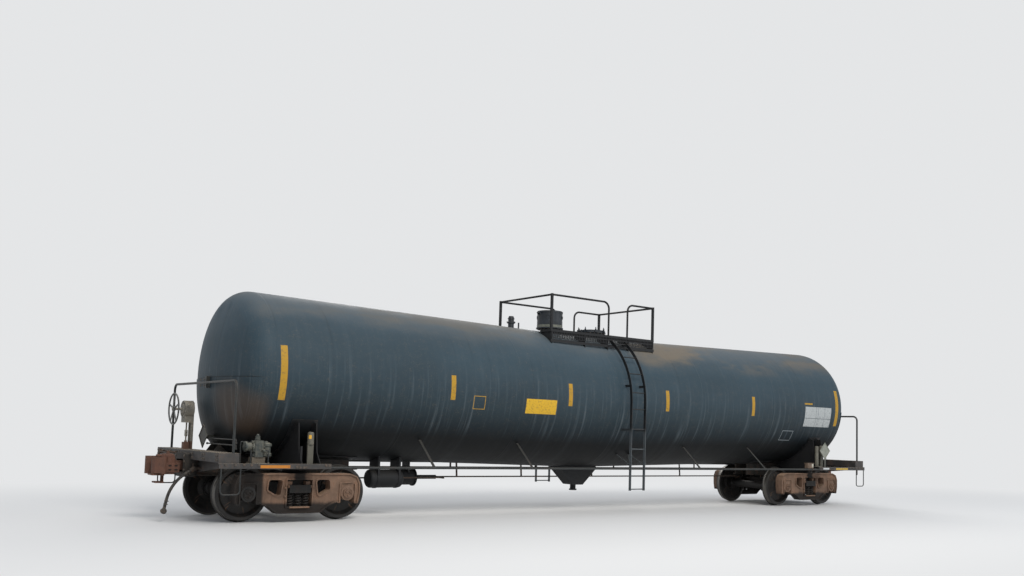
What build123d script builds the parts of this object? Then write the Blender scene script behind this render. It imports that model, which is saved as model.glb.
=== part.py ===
from build123d import *
from math import atan, atan2, cos, degrees, radians, sin, sqrt
import os

os.makedirs("parts", exist_ok=True)

# Railway tank car, in millimetres. X runs along the car, Y across it, Z up.
# The origin is at the middle of the car, level with the bottoms of the wheel flanges.
# The b end, with the hand brake, is at -X, and the a end is at +X.
ends = (("b", -1), ("a", 1))
sides = (("near", -1), ("far", 1))

# Wheels and axles
flange_height = 25.0
wheel_radius = 457.0
wheel_width = 140.0
back_to_back = 1349.0
rim_depth = 62.0
plate_thickness = 30.0
hub_radius = 140.0
axle_radius = 88.0
wheel_seat_radius = 112.0
journal_radius = 100.0
bearing_radius = 126.0
bearing_length = 180.0
journal_centres = 2007.0
end_cap_radius = 88.0
end_cap_length = 30.0
rail_top = flange_height
axle_height = rail_top + wheel_radius
flange_radius = wheel_radius + flange_height

# Tank
tank_radius = 1430.0
tank_straight = 7610.0
head_depth = 580.0
knuckle_radius = 400.0
tank_low = rail_top + 880.0
tank_axis_height = tank_low + tank_radius
tank_crest = tank_axis_height + tank_radius
tank_end = tank_straight + head_depth
tank_fall = 1 / 48
pad_thickness = 12.0
saddle_angle = 58.0
saddle_length = 460.0
sill_pad_angle = 17.0
pad_lead = 60.0
shield_start = tank_straight + 170.0
shield_top = tank_axis_height + 50.0

# Trucks
truck_centre = tank_straight - 693.0
wheelbase = 1778.0
half_base = wheelbase / 2
frame_width = 190.0
frame_top = rail_top + 790.0
frame_bottom = rail_top + 130.0
frame_inner_y = (journal_centres - frame_width) / 2
chord_depth = 105.0
frame_corner = 24.0
frame_rim = 24.0
frame_recess = 22.0
pedestal_half = 132.0
pedestal_low = rail_top + 275.0
spring_seat = rail_top + 245.0
spring_radius = 68.0
spring_height = 225.0
spring_gap = 8.0
column_half = 225.0
column_width = 78.0
window_corner = 44.0
adapter_width = 240.0
adapter_depth = 110.0
adapter_length = 160.0
bolster_half_width = 190.0
bolster_reach = 1120.0
bolster_end_depth = 130.0
bolster_drop = 110.0
neck_inner = 540.0
neck_outer = 760.0
bolster_rise = 40.0
bowl_radius = 180.0
bowl_wall = 26.0
bowl_depth = 30.0
centre_plate_height = rail_top + 648.0
side_bearing_y = 635.0
wedge_height = 105.0
wedge_depth = 120.0
wedge_drop = 12.0
running_gap = 6.0
pin_clearance = 0.05
seat_clearance = 0.3
beam_height = rail_top + 350.0
beam_depth = 70.0
beam_thickness = 40.0
guide_thickness = 30.0
guide_width = 110.0
guide_height = 150.0
shoe_gap = 8.0
shoe_thickness = 38.0
shoe_width = 84.0
shoe_height = 240.0
shoe_head = 60.0
shoe_y = back_to_back / 2 + 85.0
beam_offset = half_base - wheel_radius - shoe_gap - shoe_thickness - 50.0

# Stub sills, bolsters and draft gear
sill_inner_x = truck_centre - 1357.0
sill_width = 370.0
sill_wall = 16.0
sill_top = rail_top + 1030.0
sill_bottom = rail_top + 711.0
sill_flange = 60.0
striker_x = tank_end + 230.0
striker_depth = 170.0
striker_width = 500.0
striker_top = rail_top + 1085.0
striker_opening = 330.0
striker_flare = 60.0
striker_rib = 14.0
gusset_rise = 320.0
coupler_height = rail_top + 876.0
coupler_face_x = striker_x + 570.0
coupler_pin_x = striker_x - 380.0
coupler_pin_radius = 40.0
shank_width = 130.0
shank_depth = 150.0
head_half_depth = 145.0
knuckle_half_depth = 130.0
knuckle_lug_radius = 52.0
knuckle_pin_radius = 21.0
knuckle_pin_low = 20.0
knuckle_pin_rise = 25.0
pin_support_thickness = 24.0
web_spread = 160.0
web_thickness = 16.0
web_reach = tank_radius + 70.0
frame_gap = 42.0
web_low = rail_top + 752.0
wear_plate = 20.0
web_tip_low = rail_top + 892.0
web_tip_high = rail_top + 965.0
web_horn_y = tank_radius - 140.0
web_horn_top = tank_axis_height - 670.0
upright_reach = 60.0
upright_radius = 52.0
upright_thickness = 34.0
upright_height = 400.0
small_upright_height = 290.0

# End platforms, side bars and railings
deck_x = tank_end - 20.0
deck_width = 330.0
deck_end = deck_x + deck_width
deck_half = tank_radius + 125.0
deck_top = rail_top + 1130.0
deck_depth = 150.0
deck_plate = 12.0
side_y = deck_half + 20.0
side_bar_inner_x = truck_centre - 317.0
side_bar_height = 82.0
side_bar_width = 46.0
side_bar_top = rail_top + 972.0
rail_pipe_radius = 21.0
side_pipe_height = rail_top + 912.0
side_pipe_end_x = side_bar_inner_x
strut_width = 50.0
strut_thickness = 12.0
bracket_positions = (-4570.0, -2350.0, 2350.0, 4570.0)
end_rail_x = deck_x + 92.0
end_rail_top = rail_top + 2270.0
end_rail_bend = 110.0
rail_brace_y = 85.0
rail_brace_width = 44.0
rail_brace_low = rail_top + 2180.0
rail_brace_high = rail_top + 2380.0
step_bottom = rail_top + 478.0
step_bar = 22.0
step_bend = 60.0
step_inner_x = deck_x - 20.0
step_width = 310.0

# Placard holders: a diamond on a stand at two sides and on both heads
holder_side = 290.0
holder_thickness = 14.0
holder_rim = 12.0
holder_floor = 4.0
holder_height = rail_top + 1370.0
side_holder_x = truck_centre - 60.0
end_holder_x = tank_end + 30.0
holder_post = 40.0

# Uncoupling levers
lever_radius = 14.0
uncoupling_x = deck_end + 36.0
lever_height = rail_top + 1065.0
lever_handle_y = deck_half - 200.0
lever_handle_low = rail_top + 760.0
lever_turn_y = striker_width / 2 + 70.0
lever_tip_x = coupler_face_x - 130.0
lever_tip_y = 150.0
lever_tip_height = rail_top + 1110.0
lever_bend = 45.0
lever_brackets = (deck_half - 260.0, striker_width / 2 + 220.0)

# Ladders and the platform round the manway
ladder_x = 405.0
ladder_width = 395.0
ladder_standoff = 150.0
ladder_bottom = rail_top + 460.0
ladder_bar_depth = 64.0
ladder_bar_thickness = 12.0
rung_radius = 11.0
rung_pitch = 415.0
rung_start = 30.0
lug_heights = (tank_axis_height - 620.0, tank_axis_height + 300.0)
lug_root = 0.85 * tank_radius
lug_depth = 50.0
foot_brace_lead = 285.0
foot_brace_y = 0.56 * tank_radius
foot_brace_low = side_pipe_height + 75.0
foot_brace_high = tank_low + 330.0
platform_half = 1475.0
platform_top = tank_crest - 5.0
platform_low = tank_crest - 360.0
platform_inner_y = 560.0
platform_outer_y = 925.0
platform_frame = 52.0
leg_inset = 30.0
leg_foot = 90.0
middle_leg_x = -540.0
shoulder_angle_height = tank_crest - 270.0
shoulder_angle_depth = 60.0
grating_bar = 8.0
grating_depth = 30.0
grating_pitch = 59.0
top_rail_height = tank_crest + 710.0
top_rail_bend = 150.0
top_post_y = 900.0
top_post_size = 46.0
gate_half = 275.0

# Fittings on top
nozzle_start = tank_crest - 140.0
manway_x = 430.0
manway_radius = 254.0
manway_flange_radius = 300.0
manway_flange = 26.0
manway_top = tank_crest + 140.0
manway_hinge_x = manway_x - manway_flange_radius - 46.0
manway_hinge_rise = 8.0
cover_thickness = 34.0
cover_crown = 14.0
cover_ear_half = 45.0
cover_bolts = 8
bolt_lug = 52.0
bolt_height = 62.0
nut_radius = 19.0
nut_height = 24.0
bolt_offset = 22.5
housing_x = -775.0
housing_radius = 275.0
housing_wall = 10.0
housing_flange = 24.0
housing_bottom = tank_crest + 105.0
housing_top = tank_crest + 450.0
housing_hinge_x = housing_x - housing_radius - 30.0
housing_hinge_drop = 8.0
lid_thickness = 42.0
lid_overhang = 8.0
lid_chamfer = 12.0
lid_ear_half = 36.0
lid_ear_radius = 18.0
lid_strap = 54.0
port_depth = 50.0
port_width = 120.0
nozzle_radius = 205.0
inner_valve_radius = 45.0
inner_valve_height = 190.0
inner_valve_circle = 135.0
hinge_pin_radius = 8.0
hinge_play = 2.0
hinge_ear_radius = 26.0
hinge_ear_thickness = 14.0
hinge_strap = 16.0
relief_x = -1820.0
relief_radius = 62.0
relief_top = tank_crest + 290.0
relief_cap = 60.0
relief_flange_height = tank_crest + 140.0
relief_flange = 22.0
thin_post_offset = 200.0
thin_post_radius = 16.0
thin_post_height = tank_crest + 170.0

# Bottom fittings and brake gear
skid_top_half = 500.0
skid_bottom_half = 130.0
skid_bottom = tank_low - 380.0
skid_width = 360.0
skid_wrap = 80.0
skid_edge = 40.0
outlet_radius = 62.0
outlet_wall = 11.0
outlet_bottom = tank_low - 505.0
outlet_depth = 80.0
outlet_flange = 28.0
reservoir_x = -4900.0
reservoir_y = -330.0
reservoir_radius = 170.0
reservoir_length = 700.0
reservoir_end_round = 60.0
band_spread = 220.0
hanger_reach = 420.0
cylinder_x = -4150.0
cylinder_y = 150.0
cylinder_radius = 150.0
cylinder_length = 330.0
piston_radius = 40.0
rod_radius = 14.0
under_height = tank_low - 220.0
brake_lever_x = -3465.0
brake_lever_thickness = 30.0
rod_to_b_y = -95.0
rod_to_a_y = 235.0
rod_reach = truck_centre - 1250.0
rod_hangers = (-2900.0, -1250.0, 750.0, 3600.0)
pipe_hangers = (-3000.0, -800.0, 1500.0, 4200.0)
train_pipe_y = 330.0
train_pipe_height = rail_top + 840.0
train_pipe_end_x = striker_x + 20.0
train_pipe_radius = 21.0
train_pipe_bend = 110.0
strap_width = 40.0
strap_thickness = 8.0
cock_radius = 38.0
cock_length = 84.0
cock_angle = 30.0
handle_radius = 9.0
hose_radius = 25.0
hose_bend = 620.0
hose_lead_share = 1.55
fitting_neck = 70.0
fitting_radius = 46.0
fitting_thickness = 48.0
valve_x = -(tank_straight + 150.0)
valve_y = -1250.0
valve_width = 150.0
valve_height = 270.0
valve_round = 24.0
valve_base_width = 220.0
valve_base_rise = 90.0
valve_base_inner = 1070.0
hand_brake_x = -(deck_x + 60.0)
hand_brake_y = 600.0
hand_brake_height = rail_top + 1815.0
post_thickness = 16.0
post_width = 150.0
post_lip = 40.0
post_rise = 120.0
case_radius = 150.0
case_width = 180.0
case_drop = 230.0
case_depth = 150.0
case_boss = 24.0
brake_rod_radius = 13.0
crank_length = 110.0
crank_width = 90.0
crank_height = 120.0
shaft_end = 30.0
hand_wheel_x = hand_brake_x - 325.0
hand_wheel_radius = 279.0
hand_shaft_radius = 22.0
wheel_rim_radius = 14.0
wheel_hub_length = 40.0
wheel_hub_radius = 44.0
spoke_thickness = 14.0
wheel_spokes = 5

fall_angle = degrees(atan(tank_fall))
fall_cos = cos(radians(fall_angle))
fall_sin = sin(radians(fall_angle))


def write(block, name):
    block.part.label = name
    export_step(block.part, f"parts/{name}.step")


def half_plane(side):
    """Plane across the tank at the car's middle, its normal along that half's falling axis."""
    return Plane(
        origin=(0, 0, tank_axis_height),
        x_dir=(0, side, 0),
        z_dir=(side * fall_cos, 0, fall_sin),
    )


def tank_drum(side, radius):
    """Plain round bar on one half's axis, used to fit things to the shell."""
    with BuildPart() as drum:
        with BuildSketch(half_plane(side)):
            Circle(radius)
        extrude(amount=tank_straight)
    return drum.part


def tank_half(side, grown=0.0):
    """One half of the tank, with its dished head, made by turning half its outline."""
    radius = tank_radius + grown
    knuckle = knuckle_radius + grown
    depth = head_depth + grown
    crown = (depth**2 - knuckle**2 + (radius - knuckle) ** 2) / (2 * (depth - knuckle))
    tilt = atan2(radius - knuckle, crown - depth)
    crown_centre = tank_straight + depth - crown
    join = (crown_centre + crown * cos(tilt), crown * sin(tilt))
    overlap = tank_radius * 0.1
    plane = Plane(
        origin=(0, 0, tank_axis_height),
        x_dir=(side * fall_cos, 0, fall_sin),
        z_dir=(0, -side, 0),
    )
    with BuildPart() as half:
        with BuildSketch(plane):
            with BuildLine():
                base = Polyline((-overlap, 0), (-overlap, radius), (tank_straight, radius))
                bend = TangentArc(base @ 1, join, tangent=(1, 0))
                crown_arc = TangentArc(bend @ 1, (tank_straight + depth, 0), tangent=bend % 1)
                Line(crown_arc @ 1, base @ 0)
            make_face()
        revolve(axis=Axis(plane.origin, plane.x_dir))
        split(bisect_by=Plane.YZ, keep=Keep.TOP if side > 0 else Keep.BOTTOM)
    return half.part


def pipe(points, bend, radius):
    """Round tube or bar along straight runs with one bend radius."""
    with BuildPart() as tube:
        with BuildLine() as path:
            if len(points) > 2:
                FilletPolyline(*points, radius=bend)
            else:
                Line(*points)
        with BuildSketch(Plane(origin=path.line @ 0, z_dir=path.line % 0)):
            Circle(radius)
        sweep(path=path.line)
    return tube.part


def flat_bar(start, end, width, thickness, width_dir=(1, 0, 0)):
    """Straight flat bar, its width held along width_dir."""
    with BuildPart() as bar:
        with BuildLine() as path:
            Line(start, end)
        with BuildSketch(Plane(origin=start, x_dir=width_dir, z_dir=path.line % 0)):
            Rectangle(width, thickness)
        sweep(path=path.line)
    return bar.part


tank_halves = {side: tank_half(side) for _, side in ends}
tank_outer = {side: tank_half(side, pad_thickness) for _, side in ends}
pad_drums = {side: tank_drum(side, tank_radius + pad_thickness) for _, side in ends}
whole_tank = tank_halves[-1] + tank_halves[1]

with BuildPart() as tank:
    add(whole_tank)
write(tank, "tank")

# Saddle pads: a wide wrap over each bolster and a long strip over the stub sill
with BuildPart() as saddle_pads:
    for end, side in ends:
        for start, length, half_angle in (
            (truck_centre - saddle_length / 2, saddle_length, saddle_angle),
            (sill_inner_x - pad_lead, tank_straight - sill_inner_x + pad_lead, sill_pad_angle),
        ):
            with BuildSketch(half_plane(side).offset(start)):
                with BuildLine():
                    low = -90 - half_angle
                    outer = CenterArc((0, 0), tank_radius + pad_thickness, low, 2 * half_angle)
                    inner = CenterArc((0, 0), tank_radius, low, 2 * half_angle)
                    Line(outer @ 0, inner @ 0)
                    Line(outer @ 1, inner @ 1)
                make_face()
            extrude(amount=length)
write(saddle_pads, "saddle_pads")

# Head shields: a plate over the lower half of each dished head
shield_length = tank_end + 2 * pad_thickness - shield_start
shields = []
for end, side in ends:
    slab = Box(shield_length, 2 * tank_outer[side].bounding_box().size.Y, shield_top - sill_top)
    slab = Pos(side * (shield_start + shield_length / 2), 0, (shield_top + sill_top) / 2) * slab
    shields.append((tank_outer[side] - tank_halves[side]) & slab)
with BuildPart() as head_shields:
    for shield in shields:
        add(shield)
write(head_shields, "head_shields")

# Stub sills with the striker casting and the coupler's pin
sill_inside = sill_width - 2 * sill_wall
sill_mid = (sill_top + sill_bottom) / 2
striker_low = sill_bottom - 20
for end, side in ends:
    with BuildPart() as sill:
        with BuildSketch(Plane.YZ.offset(side * sill_inner_x)):
            with Locations((0, sill_mid)):
                Rectangle(sill_width, sill_top - sill_bottom)
            with Locations((0, sill_mid - sill_wall)):
                Rectangle(sill_inside, sill_top - sill_bottom, mode=Mode.SUBTRACT)
            with Locations((0, sill_bottom + sill_wall / 2)):
                Rectangle(sill_width + 2 * sill_flange, sill_wall)
                Rectangle(sill_inside, sill_wall, mode=Mode.SUBTRACT)
        extrude(amount=side * (striker_x - sill_inner_x))
        # Striker: a thick collar with a flared mouth round the shank
        with BuildSketch(Plane.YZ.offset(side * striker_x)):
            with Locations((0, (striker_top + striker_low) / 2)):
                RectangleRounded(striker_width, striker_top - striker_low, striker_flare / 2)
            with Locations((0, coupler_height)):
                mouth_height = shank_depth + striker_flare
                RectangleRounded(striker_opening, mouth_height, web_thickness, mode=Mode.SUBTRACT)
        extrude(amount=side * striker_depth)
        # Ribs on the striker's face, above and beside the mouth
        with BuildSketch(Plane.YZ.offset(side * striker_x)):
            for y in (-1, 1):
                with Locations((y * (striker_opening + striker_width) / 4, coupler_height)):
                    Rectangle(web_thickness, striker_flare * 2)
        extrude(amount=side * (striker_depth + striker_rib))
        # Plate under the shank's tail, and the pin it turns on
        with BuildSketch(Plane.XY.offset(sill_bottom)):
            with Locations((side * coupler_pin_x, 0)):
                Rectangle(sill_width, sill_width)
        extrude(amount=pin_support_thickness)
        with BuildSketch(Plane.XY.offset(sill_bottom)):
            with Locations((side * coupler_pin_x, 0)):
                Circle(coupler_pin_radius)
        extrude(amount=sill_top - sill_bottom - sill_wall / 2)
        # Centre plate that sits in the truck's bowl
        with BuildSketch(Plane.XY.offset(centre_plate_height)):
            with Locations((side * truck_centre, 0)):
                Circle(bowl_radius - pin_clearance)
        extrude(amount=sill_bottom - centre_plate_height + bowl_depth)
        with BuildSketch(Plane.XY.offset(sill_bottom)):
            with Locations((side * truck_centre, 0)):
                Rectangle(saddle_length, sill_width)
        extrude(amount=bowl_depth)
        # Gussets from the sill up to the tank's head
        for y in (-1, 1):
            with BuildSketch(Plane.XZ.offset(-y * (sill_width - sill_wall) / 2)):
                Polygon(
                    (side * (tank_straight - pad_lead), sill_top - sill_wall),
                    (side * (deck_x - sill_wall), sill_top - sill_wall),
                    (side * (deck_x - sill_wall), sill_top + sill_wall),
                    (side * (tank_straight + gusset_rise), sill_top + gusset_rise),
                    (side * (tank_straight - pad_lead), sill_top + gusset_rise),
                    align=None,
                )
            extrude(amount=sill_wall / 2, both=True)
        add(tank_outer[side], mode=Mode.SUBTRACT)
    write(sill, f"stub_sill_{end}")

# Body bolsters: two webs that cradle the tank, with a cap plate below and end plates
web_flat = side_bearing_y + 95
web_over_frame = (frame_inner_y - 30, frame_top + frame_gap)
web_outline = [
    (0, web_low),
    (web_flat, web_low),
    web_over_frame,
    (web_reach, web_tip_low),
    (web_reach, web_tip_high),
    (web_horn_y + 60, web_tip_high + 190),
    (web_horn_y, web_horn_top),
    (0, web_horn_top),
]
cap_reach = web_spread + 60
tip_mid = (web_tip_low + web_tip_high) / 2
with BuildPart() as body_bolsters:
    for end, side in ends:
        centre = side * truck_centre
        for web_x in (centre - web_spread, centre + web_spread):
            with BuildSketch(Plane.YZ.offset(web_x - web_thickness / 2)):
                Polygon(*web_outline, align=None)
                mirror(about=Plane.YZ)
            extrude(amount=web_thickness)
        # Cap plate under both webs
        with BuildSketch(Plane.YZ.offset(centre)):
            with BuildLine():
                lower = Polyline(*web_outline[:4])
                upper = Polyline(*[(y, z + web_thickness) for y, z in web_outline[:4]])
                Line(lower @ 0, upper @ 0)
                Line(lower @ 1, upper @ 1)
            make_face()
            mirror(about=Plane.YZ)
        extrude(amount=cap_reach, both=True)
        for y in (-1, 1):
            # Wear plates over the side bearings
            with BuildSketch(Plane.XY.offset(web_low)):
                with Locations((centre, y * side_bearing_y)):
                    Rectangle(1.25 * adapter_width, 0.75 * adapter_width)
            extrude(amount=-wear_plate)
            # Closing plate and top plate at the bolster's tip
            with BuildSketch(Plane.XZ.offset(-y * web_reach)):
                with Locations((centre, tip_mid)):
                    Rectangle(2 * cap_reach, web_tip_high - web_tip_low)
            extrude(amount=y * web_thickness)
            with BuildSketch(Plane.XY.offset(web_tip_high - web_thickness)):
                with Locations((centre, y * (web_reach - upright_reach))):
                    Rectangle(2 * cap_reach, 2 * upright_reach)
            extrude(amount=web_thickness)
            # Round-topped upright at the tip, and the narrow one beside it
            with BuildSketch(Plane.XZ.offset(-y * (web_reach - upright_reach))):
                with Locations((centre, web_tip_high + upright_height / 2)):
                    Rectangle(2 * upright_radius, upright_height)
                with Locations((centre, web_tip_high + upright_height)):
                    Circle(upright_radius)
                with Locations((centre + side * web_spread, web_tip_high + small_upright_height / 2)):
                    Rectangle(upright_thickness, small_upright_height)
            extrude(amount=y * upright_thickness)
        # Room for the stub sill that passes through
        with BuildSketch(Plane.XY.offset(centre_plate_height)):
            with Locations((centre, 0)):
                Rectangle(4 * cap_reach, sill_width + 2 * sill_flange)
        extrude(amount=sill_bottom + sill_wall - centre_plate_height, mode=Mode.SUBTRACT)
        with BuildSketch(Plane.XY.offset(centre_plate_height)):
            with Locations((centre, 0)):
                Rectangle(4 * cap_reach, sill_width)
        extrude(amount=web_horn_top, mode=Mode.SUBTRACT)
        add(pad_drums[side], mode=Mode.SUBTRACT)
        with BuildSketch(Plane.YZ.offset(centre)):
            with Locations((side * train_pipe_y, train_pipe_height)):
                Circle(train_pipe_radius + running_gap)
        extrude(amount=cap_reach, both=True, mode=Mode.SUBTRACT)
write(body_bolsters, "body_bolsters")

# Couplers, seen from above: u runs out from the pulling face, v across, as (u, v)
coupler_body = [
    (-300, -65), (-262, -130), (-150, -140), (-60, -178), (50, -196), (118, -168), (104, -128),
    (30, -104), (-52, -66), (-92, 20), (-112, 120), (-150, 150), (-205, 172), (-262, 160), (-300, 65),
]
coupler_knuckle = [
    (-108, 110), (-88, 34), (-62, 30), (-46, 74), (-4, 76), (24, 30), (2, -16),
    (26, -34), (64, -2), (74, 70), (44, 140), (-14, 186), (-82, 196), (-128, 166),
]
knuckle_pivot = (-92, 148)
head_back = -290
for end, side in ends:
    face = side * coupler_face_x
    pivot = (face + side * knuckle_pivot[0], side * knuckle_pivot[1])
    shank_end = coupler_face_x + head_back
    with BuildPart() as coupler:
        with BuildSketch(Plane.XY.offset(coupler_height - shank_depth / 2)):
            with Locations((side * coupler_pin_x, 0)):
                Circle(shank_width / 2 + 8)
            with Locations((side * (coupler_pin_x + shank_end) / 2, 0)):
                Rectangle(shank_end - coupler_pin_x, shank_width)
        extrude(amount=shank_depth)
        with BuildSketch(Plane.XY.offset(coupler_height - head_half_depth)):
            Polygon(*[(face + side * u, side * v) for u, v in coupler_body], align=None)
            with Locations(pivot):
                Circle(knuckle_lug_radius)
        extrude(amount=2 * head_half_depth)
        with BuildSketch(Plane.XY.offset(coupler_height - knuckle_half_depth)):
            Polygon(*[(face + side * u, side * v) for u, v in coupler_knuckle], align=None)
        extrude(amount=2 * knuckle_half_depth)
        with BuildSketch(Plane.XY.offset(coupler_height - head_half_depth - knuckle_pin_low)):
            with Locations(pivot):
                Circle(knuckle_pin_radius)
        extrude(amount=2 * head_half_depth + knuckle_pin_low + knuckle_pin_rise)
        with BuildSketch(Plane.XY.offset(coupler_height - shank_depth)):
            with Locations((side * coupler_pin_x, 0)):
                Circle(coupler_pin_radius + pin_clearance)
        extrude(amount=2 * shank_depth, mode=Mode.SUBTRACT)
    write(coupler, f"coupler_{end}")

# End platforms: a folded deck across the car and a side bar along each side
deck_mid = deck_x + deck_width / 2
for end, side in ends:
    middle = side * deck_mid
    with BuildPart() as platform:
        with BuildSketch(Plane.XZ.offset(-deck_half)):
            with Locations((middle, deck_top - deck_depth / 2)):
                Rectangle(deck_width, deck_depth)
            with Locations((middle, deck_top - deck_plate - deck_depth / 2)):
                Rectangle(deck_width - 2 * deck_plate, deck_depth, mode=Mode.SUBTRACT)
        extrude(amount=2 * deck_half)
        for y in (-1, 1):
            with BuildSketch(Plane.XZ.offset(-y * deck_half)):
                with Locations((middle, (deck_top + side_bar_top - side_bar_height) / 2)):
                    Rectangle(deck_width, deck_top - side_bar_top + side_bar_height)
            extrude(amount=y * deck_plate)
            leg_height = side_bar_top - side_bar_height / 2
            with BuildSketch(Plane.YZ.offset(side * side_bar_inner_x)):
                with Locations((y * side_y, leg_height)):
                    Rectangle(side_bar_width, side_bar_height)
                with Locations((y * (side_y - deck_plate), leg_height - deck_plate)):
                    Rectangle(side_bar_width, side_bar_height, mode=Mode.SUBTRACT)
            extrude(amount=side * (deck_end - side_bar_inner_x))
            # Bearer from the stub sill out to the deck's end
            with BuildSketch(Plane.YZ.offset(middle)):
                Polygon(
                    (y * sill_width / 2, sill_bottom + 60),
                    (y * deck_half, side_bar_top - 60),
                    (y * deck_half, deck_top - deck_plate),
                    (y * sill_width / 2, deck_top - deck_plate),
                    align=None,
                )
            extrude(amount=side * deck_plate)
        with BuildSketch(Plane.XY.offset(sill_bottom)):
            with Locations((middle, 0)):
                Rectangle(deck_width * 2, sill_width)
        extrude(amount=sill_top - sill_bottom, mode=Mode.SUBTRACT)
        with BuildSketch(Plane.YZ.offset(middle)):
            with Locations((side * train_pipe_y, train_pipe_height)):
                Circle(train_pipe_radius + running_gap)
        extrude(amount=deck_plate, both=True, mode=Mode.SUBTRACT)
        with BuildSketch(Plane.XY.offset(striker_low)):
            with Locations((side * (striker_x + striker_depth / 2), 0)):
                Rectangle(striker_depth, striker_width)
        extrude(amount=striker_top - striker_low, mode=Mode.SUBTRACT)
    write(platform, f"end_platform_{end}")

# End railings: one bent tube across each end, held at its middle by a brace to the head
rail_foot_y = deck_half - rail_pipe_radius
rail_parts = []
for end, side in ends:
    x = side * end_rail_x
    rail_parts.append(
        pipe(
            [
                (x, -rail_foot_y, deck_top),
                (x, -rail_foot_y, end_rail_top),
                (x, rail_foot_y, end_rail_top),
                (x, rail_foot_y, deck_top),
            ],
            end_rail_bend,
            rail_pipe_radius,
        )
    )
    brace = Box(end_rail_x - tank_straight, rail_brace_width, rail_brace_high - rail_brace_low)
    brace_x = side * (end_rail_x + tank_straight) / 2
    brace = Pos(brace_x, side * rail_brace_y, (rail_brace_low + rail_brace_high) / 2) * brace
    rail_parts.append(brace - tank_outer[side])
with BuildPart() as end_rails:
    for piece in rail_parts:
        add(piece)
write(end_rails, "end_rails")

# Side handrails from side bar to side bar, on struts from the tank's underside
side_rail_parts = []
for name, y in sides:
    run_start = (-side_pipe_end_x, y * side_y, side_pipe_height)
    run_end = (side_pipe_end_x, y * side_y, side_pipe_height)
    side_rail_parts.append(pipe([run_start, run_end], 0, rail_pipe_radius))
    for x in bracket_positions:
        strut_start = (x, y * 0.7 * tank_radius, side_pipe_height + 0.35 * tank_radius)
        strut = flat_bar(strut_start, (x, y * side_y, side_pipe_height), strut_width, strut_thickness)
        side_rail_parts.append(strut - tank_halves[1 if x > 0 else -1])
with BuildPart() as side_rails:
    for piece in side_rail_parts:
        add(piece)
write(side_rails, "side_rails")

# Corner steps: a bent bar under each end of the side bars
step_parts = []
step_low = step_bottom + step_bar / 2
step_high = side_bar_top - side_bar_height
for end, side in ends:
    for name, y in sides:
        inner = side * step_inner_x
        outer = side * (step_inner_x + step_width)
        step_y = y * (side_y + (side_bar_width - deck_plate) / 2)
        step_parts.append(
            pipe(
                [
                    (inner, step_y, step_high),
                    (inner, step_y, step_low),
                    (outer, step_y, step_low),
                    (outer, step_y, step_high),
                ],
                step_bend,
                step_bar / 2,
            )
        )
with BuildPart() as corner_steps:
    for piece in step_parts:
        add(piece)
write(corner_steps, "corner_steps")

# Placard holders: a dished diamond on a post at two corners, and one off each head
holder_parts = []
for end, side in ends:
    hand = -side
    with BuildPart() as side_holder:
        with BuildSketch(Plane.XZ.offset(-hand * side_y)):
            with Locations((side * side_holder_x, holder_height)):
                Rectangle(holder_side, holder_side, rotation=45)
            with Locations((side * side_holder_x, (side_bar_top + holder_height) / 2)):
                Rectangle(holder_post, holder_height - side_bar_top)
        extrude(amount=hand * holder_thickness)
        with BuildSketch(Plane.XZ.offset(-hand * side_y)):
            with Locations((side * side_holder_x, holder_height)):
                Rectangle(holder_side - 2 * holder_rim, holder_side - 2 * holder_rim, rotation=45)
        extrude(amount=hand * (holder_thickness - holder_floor), mode=Mode.SUBTRACT)
    holder_parts.append(side_holder.part)
    with BuildPart() as head_holder:
        with BuildSketch(Plane.YZ.offset(side * end_holder_x)):
            with Locations((0, holder_height)):
                Rectangle(holder_side, holder_side, rotation=45)
        extrude(amount=side * holder_thickness)
        with BuildSketch(Plane.YZ.offset(side * (end_holder_x + holder_floor))):
            with Locations((0, holder_height)):
                Rectangle(holder_side - 2 * holder_rim, holder_side - 2 * holder_rim, rotation=45)
        extrude(amount=side * holder_thickness, mode=Mode.SUBTRACT)
        with BuildSketch(Plane.YZ.offset(side * end_holder_x)):
            with Locations((0, holder_height)):
                Rectangle(holder_post, holder_post)
        extrude(amount=-side * head_depth / 2)
        add(tank_outer[side], mode=Mode.SUBTRACT)
    holder_parts.append(head_holder.part)
with BuildPart() as placard_holders:
    for piece in holder_parts:
        add(piece)
write(placard_holders, "placard_holders")

# Uncoupling levers: a bent rod along the deck's face, its tip over the coupler
lever_parts = []
for end, side in ends:
    hand = -side
    lever_parts.append(
        pipe(
            [
                (side * uncoupling_x, hand * lever_handle_y, lever_handle_low),
                (side * uncoupling_x, hand * lever_handle_y, lever_height),
                (side * uncoupling_x, hand * lever_turn_y, lever_height),
                (side * (lever_tip_x - lever_tip_y / 2), hand * lever_turn_y, lever_tip_height),
                (side * lever_tip_x, hand * lever_tip_y, lever_tip_height),
            ],
            lever_bend,
            lever_radius,
        )
    )
    for y in lever_brackets:
        ear = Box(uncoupling_x + lever_radius / 2 - deck_end, 2 * lever_radius, 5 * lever_radius)
        ear_x = side * (uncoupling_x + lever_radius / 2 + deck_end) / 2
        lever_parts.append(Pos(ear_x, hand * y, lever_height) * ear)
with BuildPart() as uncoupling_levers:
    for piece in lever_parts:
        add(piece)
write(uncoupling_levers, "uncoupling_levers")

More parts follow.
